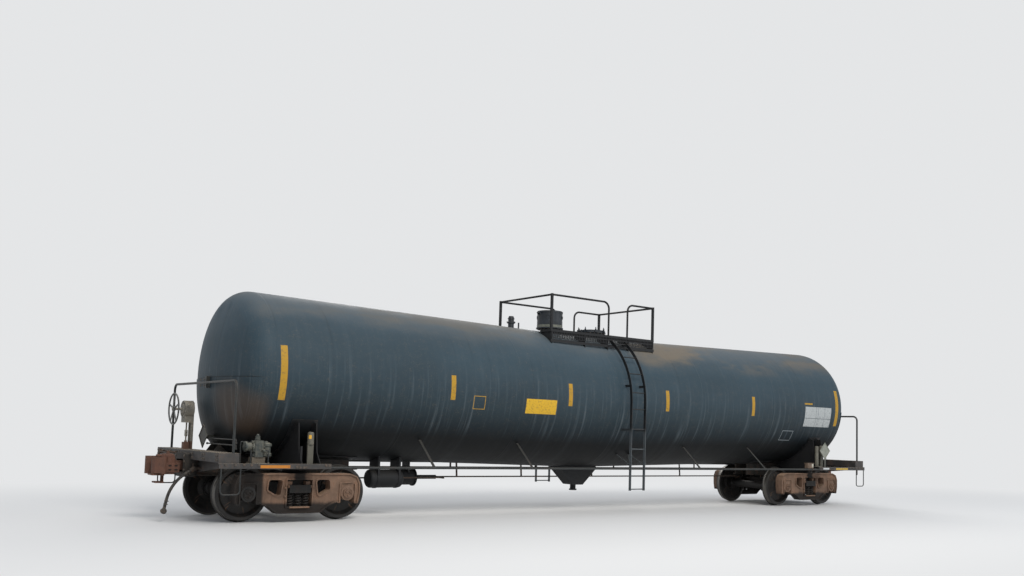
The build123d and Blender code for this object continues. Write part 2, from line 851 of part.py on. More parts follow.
# Ladders: two stiles on each side that follow the tank up to the platform, with rungs
ladder_radius = tank_radius + ladder_standoff
ladder_end_height = platform_top - platform_frame
ladder_end_y = sqrt(ladder_radius**2 - (ladder_end_height - tank_axis_height) ** 2)
arc_end = degrees(atan2(ladder_end_height - tank_axis_height, ladder_end_y))
stile_outer = ladder_radius + ladder_bar_depth / 2
stile_inner = ladder_radius - ladder_bar_depth / 2
rungs_up = int((tank_axis_height - ladder_bottom) / rung_pitch) + 1
curve_step = degrees(rung_pitch / ladder_radius)
rung_places = [(ladder_radius, ladder_bottom + rung_start + step * rung_pitch) for step in range(rungs_up)]
for step in range(int(arc_end / curve_step)):
    turn = radians(curve_step * (step + 0.45))
    rung_places.append((ladder_radius * cos(turn), tank_axis_height + ladder_radius * sin(turn)))
stile_places = (ladder_x - ladder_width / 2, ladder_x + ladder_width / 2)
foot_braces = []
for name, y in sides:
    feet = [(x, y * ladder_radius, foot_brace_low) for x in stile_places]
    tops = [(x + foot_brace_lead, y * foot_brace_y, foot_brace_high) for x in stile_places]
    for foot, top in ((feet[0], tops[0]), (feet[1], tops[1]), (feet[0], tops[1])):
        foot_braces.append(flat_bar(foot, top, strap_width, strap_thickness))
with BuildPart() as ladders:
    for x in stile_places:
        with BuildSketch(Plane.YZ.offset(x - ladder_bar_thickness / 2)):
            with BuildLine():
                outer_arc = CenterArc((0, tank_axis_height), stile_outer, 0, arc_end)
                inner_arc = CenterArc((0, tank_axis_height), stile_inner, 0, arc_end)
                Line(outer_arc @ 1, inner_arc @ 1)
                Polyline(
                    outer_arc @ 0,
                    (stile_outer, ladder_bottom),
                    (stile_inner, ladder_bottom),
                    inner_arc @ 0,
                )
            make_face()
            mirror(about=Plane.YZ)
        extrude(amount=ladder_bar_thickness)
    with BuildSketch(Plane.YZ.offset(stile_places[0])):
        for name, y in sides:
            with Locations(*[(y * across, height) for across, height in rung_places]):
                Circle(rung_radius)
    extrude(amount=ladder_width)
    # Stand-off lugs to the tank
    for height in lug_heights:
        with BuildSketch(Plane.XY.offset(height)):
            for name, y in sides:
                with Locations(*[(x, y * (ladder_radius + lug_root) / 2) for x in stile_places]):
                    Rectangle(ladder_bar_thickness, ladder_radius - lug_root)
        extrude(amount=lug_depth)
    for piece in foot_braces:
        add(piece)
    # Holes for the side handrails
    with BuildSketch(Plane.YZ.offset(ladder_x - ladder_width)):
        for name, y in sides:
            with Locations((y * side_y, side_pipe_height)):
                Circle(rail_pipe_radius + seat_clearance)
    extrude(amount=2 * ladder_width, mode=Mode.SUBTRACT)
    add(whole_tank, mode=Mode.SUBTRACT)
write(ladders, "ladders")

# Top platform: a grating walk on each side, on legs down to the tank
platform_width = platform_outer_y - platform_inner_y
platform_mid = (platform_outer_y + platform_inner_y) / 2
platform_low_face = platform_top - platform_frame
gate_low = ladder_x - gate_half
gate_high = ladder_x + gate_half
slats = int(2 * platform_half / grating_pitch) - 1
leg_places = (
    leg_inset - platform_half,
    middle_leg_x,
    gate_low - leg_inset,
    gate_high + leg_inset,
    platform_half - leg_inset,
)
with BuildPart() as top_platform:
    for name, y in sides:
        with BuildSketch(Plane.XY.offset(platform_low_face)):
            with Locations((0, y * platform_mid)):
                Rectangle(2 * platform_half, platform_width)
                Rectangle(
                    2 * platform_half - 2 * grating_bar,
                    platform_width - 2 * grating_bar,
                    mode=Mode.SUBTRACT,
                )
        extrude(amount=platform_frame)
        with BuildSketch(Plane.XY.offset(platform_top - grating_depth)):
            with Locations((0, y * platform_mid)):
                with GridLocations(grating_pitch, 1, slats, 1):
                    Rectangle(grating_bar, platform_width)
        extrude(amount=grating_depth)
        # Legs and the long angle along the tank's shoulder
        for x in leg_places:
            with BuildSketch(Plane.YZ.offset(x - grating_bar / 2)):
                Polygon(
                    (y * platform_inner_y, platform_low_face + grating_bar),
                    (y * platform_outer_y, platform_low_face + grating_bar),
                    (y * platform_outer_y, platform_low),
                    (y * (platform_outer_y - leg_foot), platform_low),
                    (y * platform_inner_y, platform_low_face - leg_foot),
                    align=None,
                )
            extrude(amount=grating_bar)
        with BuildSketch(Plane.XY.offset(shoulder_angle_height)):
            with Locations((0, y * (platform_outer_y - grating_bar / 2))):
                Rectangle(2 * platform_half, grating_bar)
        extrude(amount=shoulder_angle_depth)
    for x in (-1, 1):
        with BuildSketch(Plane.XY.offset(platform_low_face)):
            with Locations((x * (platform_half - platform_frame / 2), 0)):
                Rectangle(platform_frame, 2 * platform_inner_y)
        extrude(amount=grating_bar)
    add(whole_tank, mode=Mode.SUBTRACT)
write(top_platform, "top_platform")

# Railing on the platform: square corner posts, bent tubes with a gap at each ladder, end bars
top_rail_parts = []
corner_x = platform_half - top_post_size / 2
for name, y in sides:
    post_y = y * top_post_y
    for direction, bend_x in ((-1, gate_low), (1, gate_high)):
        top_rail_parts.append(
            pipe(
                [
                    (direction * corner_x, post_y, top_rail_height),
                    (bend_x, post_y, top_rail_height),
                    (bend_x, post_y, platform_top),
                ],
                top_rail_bend,
                rail_pipe_radius,
            )
        )
for direction in (-1, 1):
    bar_start = (direction * corner_x, -top_post_y, top_rail_height)
    bar_end = (direction * corner_x, top_post_y, top_rail_height)
    top_rail_parts.append(pipe([bar_start, bar_end], 0, rail_pipe_radius))
with BuildPart() as top_rails:
    for piece in top_rail_parts:
        add(piece)
    with BuildSketch(Plane.XY.offset(platform_top)):
        with GridLocations(2 * corner_x, 2 * top_post_y, 2, 2):
            Rectangle(top_post_size, top_post_size)
    extrude(amount=top_rail_height + top_post_size / 2 - platform_top)
write(top_rails, "top_rails")

# Manway: a short nozzle with a flange, lugs for the eyebolts, and ears for the cover's hinge
manway_hinge = (manway_hinge_x, manway_top + manway_hinge_rise)
ear_inner = cover_ear_half + hinge_play
with BuildPart() as manway:
    with BuildSketch(Plane.XY.offset(nozzle_start)):
        with Locations((manway_x, 0)):
            Circle(manway_radius)
    extrude(amount=manway_top - nozzle_start)
    with BuildSketch(Plane.XY.offset(manway_top - manway_flange)):
        with Locations((manway_x, 0)):
            Circle(manway_flange_radius)
            with PolarLocations(manway_flange_radius + 8, cover_bolts, bolt_offset):
                Rectangle(bolt_lug, 0.8 * bolt_lug)
    extrude(amount=manway_flange)
    for y in (-1, 1):
        with BuildSketch(Plane.XZ.offset(-y * ear_inner)):
            with Locations(manway_hinge):
                Circle(hinge_ear_radius)
                with Locations((1.2 * hinge_ear_radius, -0.8 * hinge_ear_radius)):
                    Rectangle(2.4 * hinge_ear_radius, hinge_ear_radius)
        extrude(amount=-y * hinge_ear_thickness)
    with BuildSketch(Plane.XZ.offset(-ear_inner)):
        with Locations(manway_hinge):
            Circle(hinge_pin_radius)
    extrude(amount=2 * ear_inner)
    add(whole_tank, mode=Mode.SUBTRACT)
write(manway, "manway")

cover_bottom = manway_top + seat_clearance
cover_top = cover_bottom + cover_thickness
with BuildPart() as manway_cover:
    with BuildSketch(Plane.XY.offset(cover_bottom)):
        with Locations((manway_x, 0)):
            Circle(manway_flange_radius - 10)
            with PolarLocations(manway_flange_radius - 4, cover_bolts, bolt_offset):
                Rectangle(bolt_lug, bolt_lug)
    extrude(amount=cover_thickness)
    # Raised crown, with the hinge strap behind it
    with BuildSketch(Plane.XY.offset(cover_top)):
        with Locations((manway_x, 0)):
            Circle(0.76 * manway_radius)
    extrude(amount=cover_crown, taper=20)
    with BuildSketch(Plane.XZ.offset(-cover_ear_half)):
        with Locations(manway_hinge):
            Circle(0.8 * hinge_ear_radius)
            with Locations((cover_ear_half, hinge_strap * 0.75)):
                Rectangle(2 * cover_ear_half, hinge_strap)
    extrude(amount=2 * cover_ear_half)
    with BuildSketch(Plane.XZ.offset(-cover_ear_half)):
        with Locations(manway_hinge):
            Circle(hinge_pin_radius + pin_clearance)
    extrude(amount=2 * cover_ear_half, mode=Mode.SUBTRACT)
    # Eyebolts with their nuts
    with BuildSketch(Plane.XY.offset(cover_top)):
        with Locations((manway_x, 0)):
            with PolarLocations(manway_flange_radius, cover_bolts, bolt_offset):
                RegularPolygon(nut_radius, 6)
    extrude(amount=nut_height)
    with BuildSketch(Plane.XY.offset(cover_top)):
        with Locations((manway_x, 0)):
            with PolarLocations(manway_flange_radius, cover_bolts, bolt_offset):
                Circle(nut_radius / 2)
    extrude(amount=bolt_height)
write(manway_cover, "manway_cover")

# Valve housing on a round nozzle, with its hinged lid
housing_hinge = (housing_hinge_x, housing_top - housing_hinge_drop)
barrel_start = housing_bottom + housing_flange
lid_ear_inner = lid_ear_half + hinge_play
with BuildPart() as valve_housing:
    with BuildSketch(Plane.XY.offset(nozzle_start)):
        with Locations((housing_x, 0)):
            Circle(nozzle_radius)
    extrude(amount=housing_bottom - nozzle_start)
    with BuildSketch(Plane.XY.offset(housing_bottom)):
        with Locations((housing_x, 0)):
            Circle(housing_radius + 2 * housing_wall)
    extrude(amount=housing_flange)
    with BuildSketch(Plane.XY.offset(barrel_start)):
        with Locations((housing_x, 0)):
            Circle(housing_radius)
            Circle(housing_radius - housing_wall, mode=Mode.SUBTRACT)
    extrude(amount=housing_top - barrel_start)
    # Valves inside, which show when the lid is open
    with BuildSketch(Plane.XY.offset(barrel_start)):
        with Locations((housing_x, 0)):
            with PolarLocations(inner_valve_circle, 3, 30):
                Circle(inner_valve_radius)
    extrude(amount=inner_valve_height)
    for y in (-1, 1):
        with BuildSketch(Plane.XZ.offset(-y * lid_ear_inner)):
            with Locations(housing_hinge):
                Circle(lid_ear_radius)
                with Locations((1.2 * lid_ear_radius, -lid_ear_radius)):
                    Rectangle(2 * lid_ear_radius, 2 * lid_ear_radius)
        extrude(amount=-y * hinge_ear_thickness)
    with BuildSketch(Plane.XZ.offset(-lid_ear_inner)):
        with Locations(housing_hinge):
            Circle(hinge_pin_radius)
    extrude(amount=2 * lid_ear_inner)
    # Port box on the housing's front
    with BuildSketch(Plane.XY.offset(barrel_start + 36)):
        with Locations((housing_x + housing_radius + housing_wall, 0)):
            Rectangle(port_depth, port_width)
    extrude(amount=port_width)
    add(whole_tank, mode=Mode.SUBTRACT)
write(valve_housing, "valve_housing")

with BuildPart() as housing_lid:
    with BuildSketch(Plane.XY.offset(housing_top + seat_clearance)):
        with Locations((housing_x, 0)):
            Circle(housing_radius + lid_overhang)
    extrude(amount=lid_thickness)
    chamfer(housing_lid.edges().group_by(Axis.Z)[-1], lid_chamfer)
    with BuildSketch(Plane.XZ.offset(-lid_ear_half)):
        with Locations(housing_hinge):
            Circle(hinge_pin_radius + 6)
            with Locations((lid_strap / 2, 22)):
                Rectangle(lid_strap, 26)
    extrude(amount=2 * lid_ear_half)
    with BuildSketch(Plane.XZ.offset(-lid_ear_half)):
        with Locations(housing_hinge):
            Circle(hinge_pin_radius + pin_clearance)
    extrude(amount=2 * lid_ear_half, mode=Mode.SUBTRACT)
write(housing_lid, "housing_lid")

with BuildPart() as relief_valve:
    with BuildSketch(Plane.XY.offset(nozzle_start)):
        with Locations((relief_x, 0)):
            Circle(relief_radius)
    extrude(amount=relief_top - relief_cap - nozzle_start)
    with BuildSketch(Plane.XY.offset(relief_flange_height)):
        with Locations((relief_x, 0)):
            Circle(relief_radius + 26)
    extrude(amount=relief_flange)
    with BuildSketch(Plane.XY.offset(relief_top - relief_cap)):
        with Locations((relief_x, 0)):
            Circle(relief_radius + 14)
    extrude(amount=relief_cap, taper=25)
    with BuildSketch(Plane.XY.offset(nozzle_start)):
        with Locations((relief_x + thin_post_offset, 0)):
            Circle(thin_post_radius)
    extrude(amount=thin_post_height - nozzle_start)
    add(whole_tank, mode=Mode.SUBTRACT)
write(relief_valve, "relief_valve")

# Bottom outlet inside its skid
with BuildPart() as bottom_outlet:
    with BuildSketch(Plane.XZ.offset(-skid_width / 2)):
        Polygon(
            (-skid_top_half, tank_low + skid_wrap),
            (skid_top_half, tank_low + skid_wrap),
            (skid_top_half, tank_low - skid_edge),
            (skid_bottom_half, skid_bottom),
            (-skid_bottom_half, skid_bottom),
            (-skid_top_half, tank_low - skid_edge),
            align=None,
        )
    extrude(amount=skid_width)
    with BuildSketch(Plane.XY.offset(outlet_bottom)):
        Circle(outlet_radius)
    extrude(amount=skid_bottom - outlet_bottom)
    with BuildSketch(Plane.XY.offset(outlet_bottom)):
        Circle(outlet_radius + 2 * outlet_wall)
    extrude(amount=outlet_flange)
    with BuildSketch(Plane.XY.offset(outlet_bottom)):
        Circle(outlet_radius - outlet_wall)
    extrude(amount=outlet_depth, mode=Mode.SUBTRACT)
    add(whole_tank, mode=Mode.SUBTRACT)
write(bottom_outlet, "bottom_outlet")

# Brake gear under the tank
with BuildPart() as air_reservoir:
    with BuildSketch(Plane.YZ.offset(reservoir_x - reservoir_length / 2)):
        with Locations((reservoir_y, under_height)):
            Circle(reservoir_radius)
    extrude(amount=reservoir_length)
    fillet(air_reservoir.edges().filter_by(GeomType.CIRCLE), reservoir_end_round)
    # Two bands with their hangers up to the tank
    for band_x in (reservoir_x - band_spread, reservoir_x + band_spread):
        with BuildSketch(Plane.YZ.offset(band_x)):
            with Locations((reservoir_y, under_height)):
                Circle(reservoir_radius + strap_thickness)
            with Locations((reservoir_y, under_height + hanger_reach / 2)):
                Rectangle(2 * reservoir_radius, hanger_reach)
        extrude(amount=strap_width)
    add(whole_tank, mode=Mode.SUBTRACT)
write(air_reservoir, "air_reservoir")

with BuildPart() as brake_cylinder:
    for start, length, radius in (
        (cylinder_x - cylinder_length / 2, cylinder_length, cylinder_radius),
        (cylinder_x + cylinder_length / 2 - manway_flange, manway_flange, cylinder_radius + 22),
        (cylinder_x + cylinder_length / 2, brake_lever_x - cylinder_x - cylinder_length / 2, piston_radius),
    ):
        with BuildSketch(Plane.YZ.offset(start)):
            with Locations((cylinder_y, under_height)):
                Circle(radius)
        extrude(amount=length)
    with BuildSketch(Plane.YZ.offset(cylinder_x - strap_width / 2)):
        with Locations((cylinder_y, under_height + hanger_reach / 2)):
            Rectangle(1.6 * cylinder_radius, hanger_reach)
    extrude(amount=strap_width)
    add(whole_tank, mode=Mode.SUBTRACT)
write(brake_cylinder, "brake_cylinder")

# Hand brake: channel post, round gear case over a chain box, shaft, and the rod down to its crank
case_x = hand_brake_x - post_thickness / 2
rod_x = hand_brake_x - 90
with BuildPart() as hand_brake:
    with BuildSketch(Plane.XY.offset(deck_top)):
        with Locations((hand_brake_x, hand_brake_y)):
            Rectangle(post_thickness, post_width)
            for y in (-1, 1):
                with Locations(((post_thickness - post_lip) / 2, y * (post_width - post_thickness) / 2)):
                    Rectangle(post_lip, post_thickness)
    extrude(amount=hand_brake_height - deck_top + post_rise)
    with BuildSketch(Plane.YZ.offset(case_x)):
        with Locations((hand_brake_y, hand_brake_height)):
            Circle(case_radius)
        with Locations((hand_brake_y, hand_brake_height - case_drop / 2)):
            Rectangle(case_width, case_drop)
    extrude(amount=-case_depth)
    with BuildSketch(Plane.YZ.offset(case_x - case_depth)):
        with Locations((hand_brake_y, hand_brake_height)):
            Circle(case_radius * 0.6)
    extrude(amount=-case_boss, taper=15)
    with BuildSketch(Plane.YZ.offset(case_x - case_depth)):
        with Locations((hand_brake_y, hand_brake_height)):
            Circle(hand_shaft_radius)
    extrude(amount=hand_wheel_x - case_x + case_depth - shaft_end)
    with BuildSketch(Plane.XY.offset(deck_top)):
        with Locations((rod_x, hand_brake_y)):
            Circle(brake_rod_radius)
    extrude(amount=hand_brake_height - case_drop / 2 - deck_top)
    with BuildSketch(Plane.XY.offset(deck_top)) as crank_base:
        with Locations((rod_x, hand_brake_y)):
            RectangleRounded(crank_length, crank_width, brake_rod_radius)
    extrude(amount=crank_height)
write(hand_brake, "hand_brake")

wheel_centre = (hand_brake_y, hand_brake_height)
with BuildPart() as brake_wheel:
    with BuildSketch(Plane.XZ.offset(-hand_brake_y)):
        with Locations((hand_wheel_x, hand_brake_height + hand_wheel_radius - wheel_rim_radius)):
            Circle(wheel_rim_radius)
    revolve(axis=Axis((hand_wheel_x, *wheel_centre), (1, 0, 0)))
    with BuildSketch(Plane.YZ.offset(hand_wheel_x - spoke_thickness / 2)):
        with Locations(wheel_centre):
            with PolarLocations(hand_wheel_radius / 2, wheel_spokes, 90):
                Rectangle(hand_wheel_radius - 2 * wheel_rim_radius, 2 * spoke_thickness)
    extrude(amount=spoke_thickness)
    with BuildSketch(Plane.YZ.offset(hand_wheel_x - wheel_hub_length / 2)):
        with Locations(wheel_centre):
            Circle(wheel_hub_radius)
    extrude(amount=wheel_hub_length)
    with BuildSketch(Plane.YZ.offset(hand_wheel_x - wheel_hub_length)):
        with Locations(wheel_centre):
            Circle(hand_shaft_radius + pin_clearance)
    extrude(amount=2 * wheel_hub_length, mode=Mode.SUBTRACT)
write(brake_wheel, "brake_wheel")

# Control valve at the b end: a base on the side bar, the pipe bracket, and two turned portions
# Portions, from the bracket's face out, as (out, radius)
service_profile = [(0, 0), (0, 92), (26, 92), (26, 66), (112, 66), (112, 80), (140, 80), (158, 46), (158, 0)]
# Emergency portion, from its foot up, as (up, radius)
emergency_profile = [
    (0, 0), (0, 60), (24, 92), (62, 92), (74, 78), (170, 78), (182, 92), (214, 92), (240, 52), (240, 0),
]
base_outer = side_y - side_bar_width / 2
valve_low = side_bar_top + valve_base_rise
service_height = valve_low + 0.62 * valve_height
emergency_x = valve_x + valve_width / 2 + 70
with BuildPart() as control_valve:
    with BuildSketch(Plane.XY.offset(side_bar_top - strap_width)):
        with Locations((valve_x, -(base_outer + valve_base_inner) / 2)):
            Rectangle(valve_base_width, base_outer - valve_base_inner)
    extrude(amount=strap_width)
    with BuildSketch(Plane.XY.offset(side_bar_top)):
        with Locations((valve_x, valve_y)):
            Rectangle(valve_base_width, valve_width)
    extrude(amount=valve_base_rise)
    with BuildSketch(Plane.XY.offset(valve_low)):
        with Locations((valve_x, valve_y)):
            RectangleRounded(valve_width, 1.3 * valve_width, valve_round)
    extrude(amount=valve_height)
    service_plane = Plane(
        origin=(valve_x - valve_width / 2, valve_y, service_height),
        x_dir=(-1, 0, 0),
        z_dir=(0, 1, 0),
    )
    with BuildSketch(service_plane):
        Polygon(*service_profile, align=None)
    revolve(axis=Axis(service_plane.origin, service_plane.x_dir))
    emergency_plane = Plane(origin=(emergency_x, valve_y, valve_low), x_dir=(0, 0, 1), z_dir=(0, 1, 0))
    with BuildSketch(emergency_plane):
        Polygon(*emergency_profile, align=None)
    revolve(axis=Axis(emergency_plane.origin, emergency_plane.x_dir))
    # Short vertical limit valve on top of the bracket
    with BuildSketch(Plane.XY.offset(valve_low + valve_height)):
        with Locations((valve_x, valve_y)):
            Circle(valve_width / 4)
    extrude(amount=valve_width / 2)
write(control_valve, "control_valve")

# Brake rods with their hangers, on the lever behind the cylinder
rigging_parts = [
    pipe(
        [
            (brake_lever_x + brake_lever_thickness, rod_to_a_y, under_height),
            (rod_reach, rod_to_a_y, under_height),
        ],
        0,
        rod_radius,
    ),
    pipe([(brake_lever_x, rod_to_b_y, under_height), (-rod_reach, rod_to_b_y, under_height)], 0, rod_radius),
]
for x in rod_hangers:
    hanger_top = (x, rod_to_a_y + strap_width, under_height + hanger_reach)
    strap = flat_bar((x, rod_to_a_y, under_height), hanger_top, strap_width, strap_thickness)
    rigging_parts.append(strap - tank_halves[1 if x > 0 else -1])
with BuildPart() as brake_rods:
    for piece in rigging_parts:
        add(piece)
    with BuildSketch(Plane.XY.offset(under_height - strap_width / 2)):
        with Locations((brake_lever_x + brake_lever_thickness / 2, (rod_to_a_y + rod_to_b_y) / 2)):
            Rectangle(brake_lever_thickness, rod_to_a_y - rod_to_b_y + 6 * rod_radius)
    extrude(amount=strap_width)
write(brake_rods, "brake_rods")

# Train pipe: from the b end's near side, across behind the stub sill, to the a end's far side,
# with an angle cock at each end
cross_x = sill_inner_x - 130
train_parts = [
    pipe(
        [
            (-train_pipe_end_x, -train_pipe_y, train_pipe_height),
            (-cross_x, -train_pipe_y, train_pipe_height),
            (-cross_x, train_pipe_y, train_pipe_height),
            (train_pipe_end_x, train_pipe_y, train_pipe_height),
        ],
        train_pipe_bend,
        train_pipe_radius,
    )
]
cock_run = cock_length * cos(radians(cock_angle))
cock_fall = cock_length * sin(radians(cock_angle))
for end, side in ends:
    y = side * train_pipe_y
    cock_start = (side * train_pipe_end_x, y, train_pipe_height)
    cock_end = (side * (train_pipe_end_x + cock_run), y, train_pipe_height - cock_fall)
    train_parts.append(pipe([cock_start, cock_end], 0, cock_radius))
    handle_x = side * (train_pipe_end_x + cock_run / 2)
    train_parts.append(
        pipe(
            [
                (handle_x, y, train_pipe_height - cock_fall / 2),
                (handle_x, y, train_pipe_height + 2 * cock_radius),
            ],
            0,
            handle_radius,
        )
    )
for x in pipe_hangers:
    hanger_low = (x, train_pipe_y, train_pipe_height)
    hanger_top = (x, train_pipe_y, train_pipe_height + hanger_reach)
    strap = flat_bar(hanger_low, hanger_top, strap_width, strap_thickness)
    train_parts.append(strap - tank_halves[1 if x > 0 else -1])
with BuildPart() as train_pipe:
    for piece in train_parts:
        add(piece)
write(train_pipe, "train_pipe")

# Air hoses, with a hose coupling at the free end; points of the route as (out, height),
# out from the angle cock's end
hose_lead = (cock_run * hose_lead_share, -cock_fall * hose_lead_share)
hose_route = [(0, 0), hose_lead, (223, -167), (307, -291), (361, -431), (387, -579)]
hose_start_x = train_pipe_end_x + cock_run
hose_start_z = train_pipe_height - cock_fall
for end, side in ends:
    y = side * train_pipe_y
    route = [(side * (hose_start_x + out), y, hose_start_z + up) for out, up in hose_route]
    with BuildPart() as air_hose:
        with BuildLine() as hose_line:
            FilletPolyline(*route, radius=hose_bend)
        with BuildSketch(Plane(origin=hose_line.line @ 0, z_dir=hose_line.line % 0)):
            Circle(hose_radius)
        sweep(path=hose_line.line)
    write(air_hose, f"air_hose_{end}")
    hose_tip = hose_line.line @ 1
    hose_way = hose_line.line % 1
    neck_end = hose_tip + hose_way * fitting_neck
    with BuildPart() as glad_hand:
        with BuildSketch(Plane(origin=hose_tip, x_dir=(0, 1, 0), z_dir=hose_way)):
            Circle(hose_radius)
        extrude(amount=fitting_neck, taper=-3)
        with BuildSketch(Plane.XZ.offset(-neck_end.Y + fitting_thickness / 2)):
            with Locations((neck_end.X, neck_end.Z)):
                Circle(fitting_radius)
        extrude(amount=-fitting_thickness)
    write(glad_hand, f"glad_hand_{end}")
print("hose bend radius", hose_bend, "mm, diameter", 2 * hose_radius, "mm")

# Trucks
# Half outline of a side frame, from its top at the middle round to its bottom, as (along, height)
pedestal_top = axle_height + bearing_radius + 34
frame_outline = [
    (half_base + 41, frame_top), (half_base + 181, frame_top - 50), (half_base + 238, frame_top - 170),
    (half_base + 238, rail_top + 440), (half_base + 206, pedestal_low),
    (half_base + pedestal_half, pedestal_low), (half_base + pedestal_half, pedestal_top),
    (half_base - pedestal_half, pedestal_top),
    (half_base - pedestal_half, pedestal_low), (half_base - 206, pedestal_low + 28),
    (half_base - 359, frame_bottom + 106), (half_base - 500, frame_bottom),
]
window_outline = [
    (column_half + column_width, frame_top - chord_depth), (half_base - 344, frame_top - chord_depth),
    (half_base - 329, frame_top - 270), (half_base - 544, frame_top - 390),
]
low_end = spring_seat + spring_height
high_end = low_end + bolster_end_depth
high_mid = centre_plate_height - bolster_rise
bolster_outline = [
    (bolster_reach, high_end), (neck_outer, high_end), (neck_inner, high_mid), (-neck_inner, high_mid),
    (-neck_outer, high_end), (-bolster_reach, high_end), (-bolster_reach, low_end), (-neck_outer, low_end),
    (-neck_inner, low_end - bolster_drop), (neck_inner, low_end - bolster_drop), (neck_outer, low_end),
    (bolster_reach, low_end),
]
wedge_inner = bolster_half_width / 2
wedge_outer = column_half - seat_clearance
for end, side in ends:
    centre = side * truck_centre
    loop = [(centre + x, z) for x, z in frame_outline]
    loop += [(centre - x, z) for x, z in reversed(frame_outline)]
    with BuildPart() as side_frames:
        for name, y in sides:
            with BuildSketch(Plane.XZ.offset(-y * journal_centres / 2)) as plate:
                with BuildLine():
                    FilletPolyline(*loop, radius=frame_corner, close=True)
                make_face()
                for flip in (-1, 1):
                    with BuildLine():
                        window = [(centre + flip * x, z) for x, z in window_outline]
                        FilletPolyline(*window, radius=window_corner, close=True)
                    make_face(mode=Mode.SUBTRACT)
                with Locations((centre, (spring_seat + frame_top - chord_depth) / 2)):
                    Rectangle(2 * column_half, frame_top - chord_depth - spring_seat, mode=Mode.SUBTRACT)
            extrude(amount=frame_width / 2, both=True)
            # Hollow of the open outer face, inside a rim
            hollow = offset(plate.sketch_local, -frame_rim, mode=Mode.PRIVATE)
            with BuildSketch(Plane.XZ.offset(-y * (journal_centres + frame_width) / 2)):
                add(hollow)
            extrude(amount=y * frame_recess, mode=Mode.SUBTRACT)
            # Guides that carry the brake beams' ends
            for x in (-beam_offset, beam_offset):
                with BuildSketch(Plane.XZ.offset(-y * frame_inner_y)):
                    with Locations((centre + x, beam_height - 25)):
                        Rectangle(guide_width, guide_height)
                extrude(amount=y * guide_thickness)
            # Adapters over the bearings
            for x in (-half_base, half_base):
                with BuildSketch(Plane.XZ.offset(-y * journal_centres / 2)):
                    with Locations((centre + x, pedestal_top - adapter_depth / 2 + pin_clearance)):
                        Rectangle(adapter_width, adapter_depth)
                    with Locations((centre + x, axle_height)):
                        Circle(bearing_radius + pin_clearance, mode=Mode.SUBTRACT)
                extrude(amount=adapter_length / 2, both=True)
    write(side_frames, f"truck_{end}_side_frames")

    with BuildPart() as truck_bolster:
        with BuildSketch(Plane.YZ.offset(centre)):
            Polygon(*bolster_outline, align=None)
        extrude(amount=bolster_half_width, both=True)
        with BuildSketch(Plane.XY.offset(high_mid)):
            with Locations((centre, 0)):
                Circle(bowl_radius + bowl_wall)
        extrude(amount=centre_plate_height + bowl_depth - high_mid)
        with BuildSketch(Plane.XY.offset(centre_plate_height - seat_clearance)):
            with Locations((centre, 0)):
                Circle(bowl_radius)
        extrude(amount=2 * bowl_depth, mode=Mode.SUBTRACT)
        for name, y in sides:
            # Side bearing, and the friction wedges against the frame's columns
            with BuildSketch(Plane.XY.offset(high_mid - bolster_rise / 2)):
                with Locations((centre, y * side_bearing_y)):
                    Rectangle(adapter_width, adapter_depth)
            extrude(amount=web_low - wear_plate - running_gap - high_mid + bolster_rise / 2)
            for flip in (-1, 1):
                with BuildSketch(Plane.XZ.offset(-y * journal_centres / 2)):
                    Polygon(
                        (centre + flip * wedge_inner, high_end - wedge_height),
                        (centre + flip * wedge_outer, high_end - wedge_height - wedge_drop),
                        (centre + flip * wedge_outer, high_end - wedge_drop),
                        (centre + flip * wedge_inner, high_end - wedge_drop),
                        align=None,
                    )
                extrude(amount=wedge_depth / 2, both=True)
    write(truck_bolster, f"truck_{end}_bolster")

    with BuildPart() as springs:
        with BuildSketch(Plane.XY.offset(spring_seat)):
            for name, y in sides:
                with Locations((centre, y * journal_centres / 2)):
                    with GridLocations(2 * spring_radius + spring_gap, 0, 3, 1):
                        Circle(spring_radius)
        extrude(amount=spring_height)
    write(springs, f"truck_{end}_springs")

    with BuildPart() as brake_beams:
        for flip in (-1, 1):
            tread_x = centre + flip * (half_base - wheel_radius - shoe_gap)
            with BuildSketch(Plane.YZ.offset(centre + flip * (beam_offset + beam_thickness / 2))):
                with Locations((0, beam_height)):
                    Rectangle(2 * (frame_inner_y - guide_thickness - seat_clearance), beam_depth)
            extrude(amount=-flip * beam_thickness)
            for name, y in sides:
                with BuildSketch(Plane.XZ.offset(-y * shoe_y)):
                    with Locations((centre + flip * half_base, axle_height)):
                        Circle(wheel_radius + shoe_gap + shoe_thickness)
                        Circle(wheel_radius + shoe_gap, mode=Mode.SUBTRACT)
                    with Locations((centre, beam_height)):
                        Rectangle(2 * half_base, shoe_height, mode=Mode.INTERSECT)
                    with Locations((centre + flip * (half_base + wheel_radius), axle_height)):
                        Rectangle(2 * wheel_radius, 2 * wheel_radius, mode=Mode.SUBTRACT)
                extrude(amount=shoe_width / 2, both=True)
                # Head that holds the shoe on the beam
                with BuildSketch(Plane.XZ.offset(-y * shoe_y)):
                    with Locations((tread_x - flip * (shoe_thickness + 18), beam_height)):
                        Rectangle(shoe_head, beam_depth)
                extrude(amount=shoe_head / 2, both=True)
    write(brake_beams, f"truck_{end}_brake_beams")

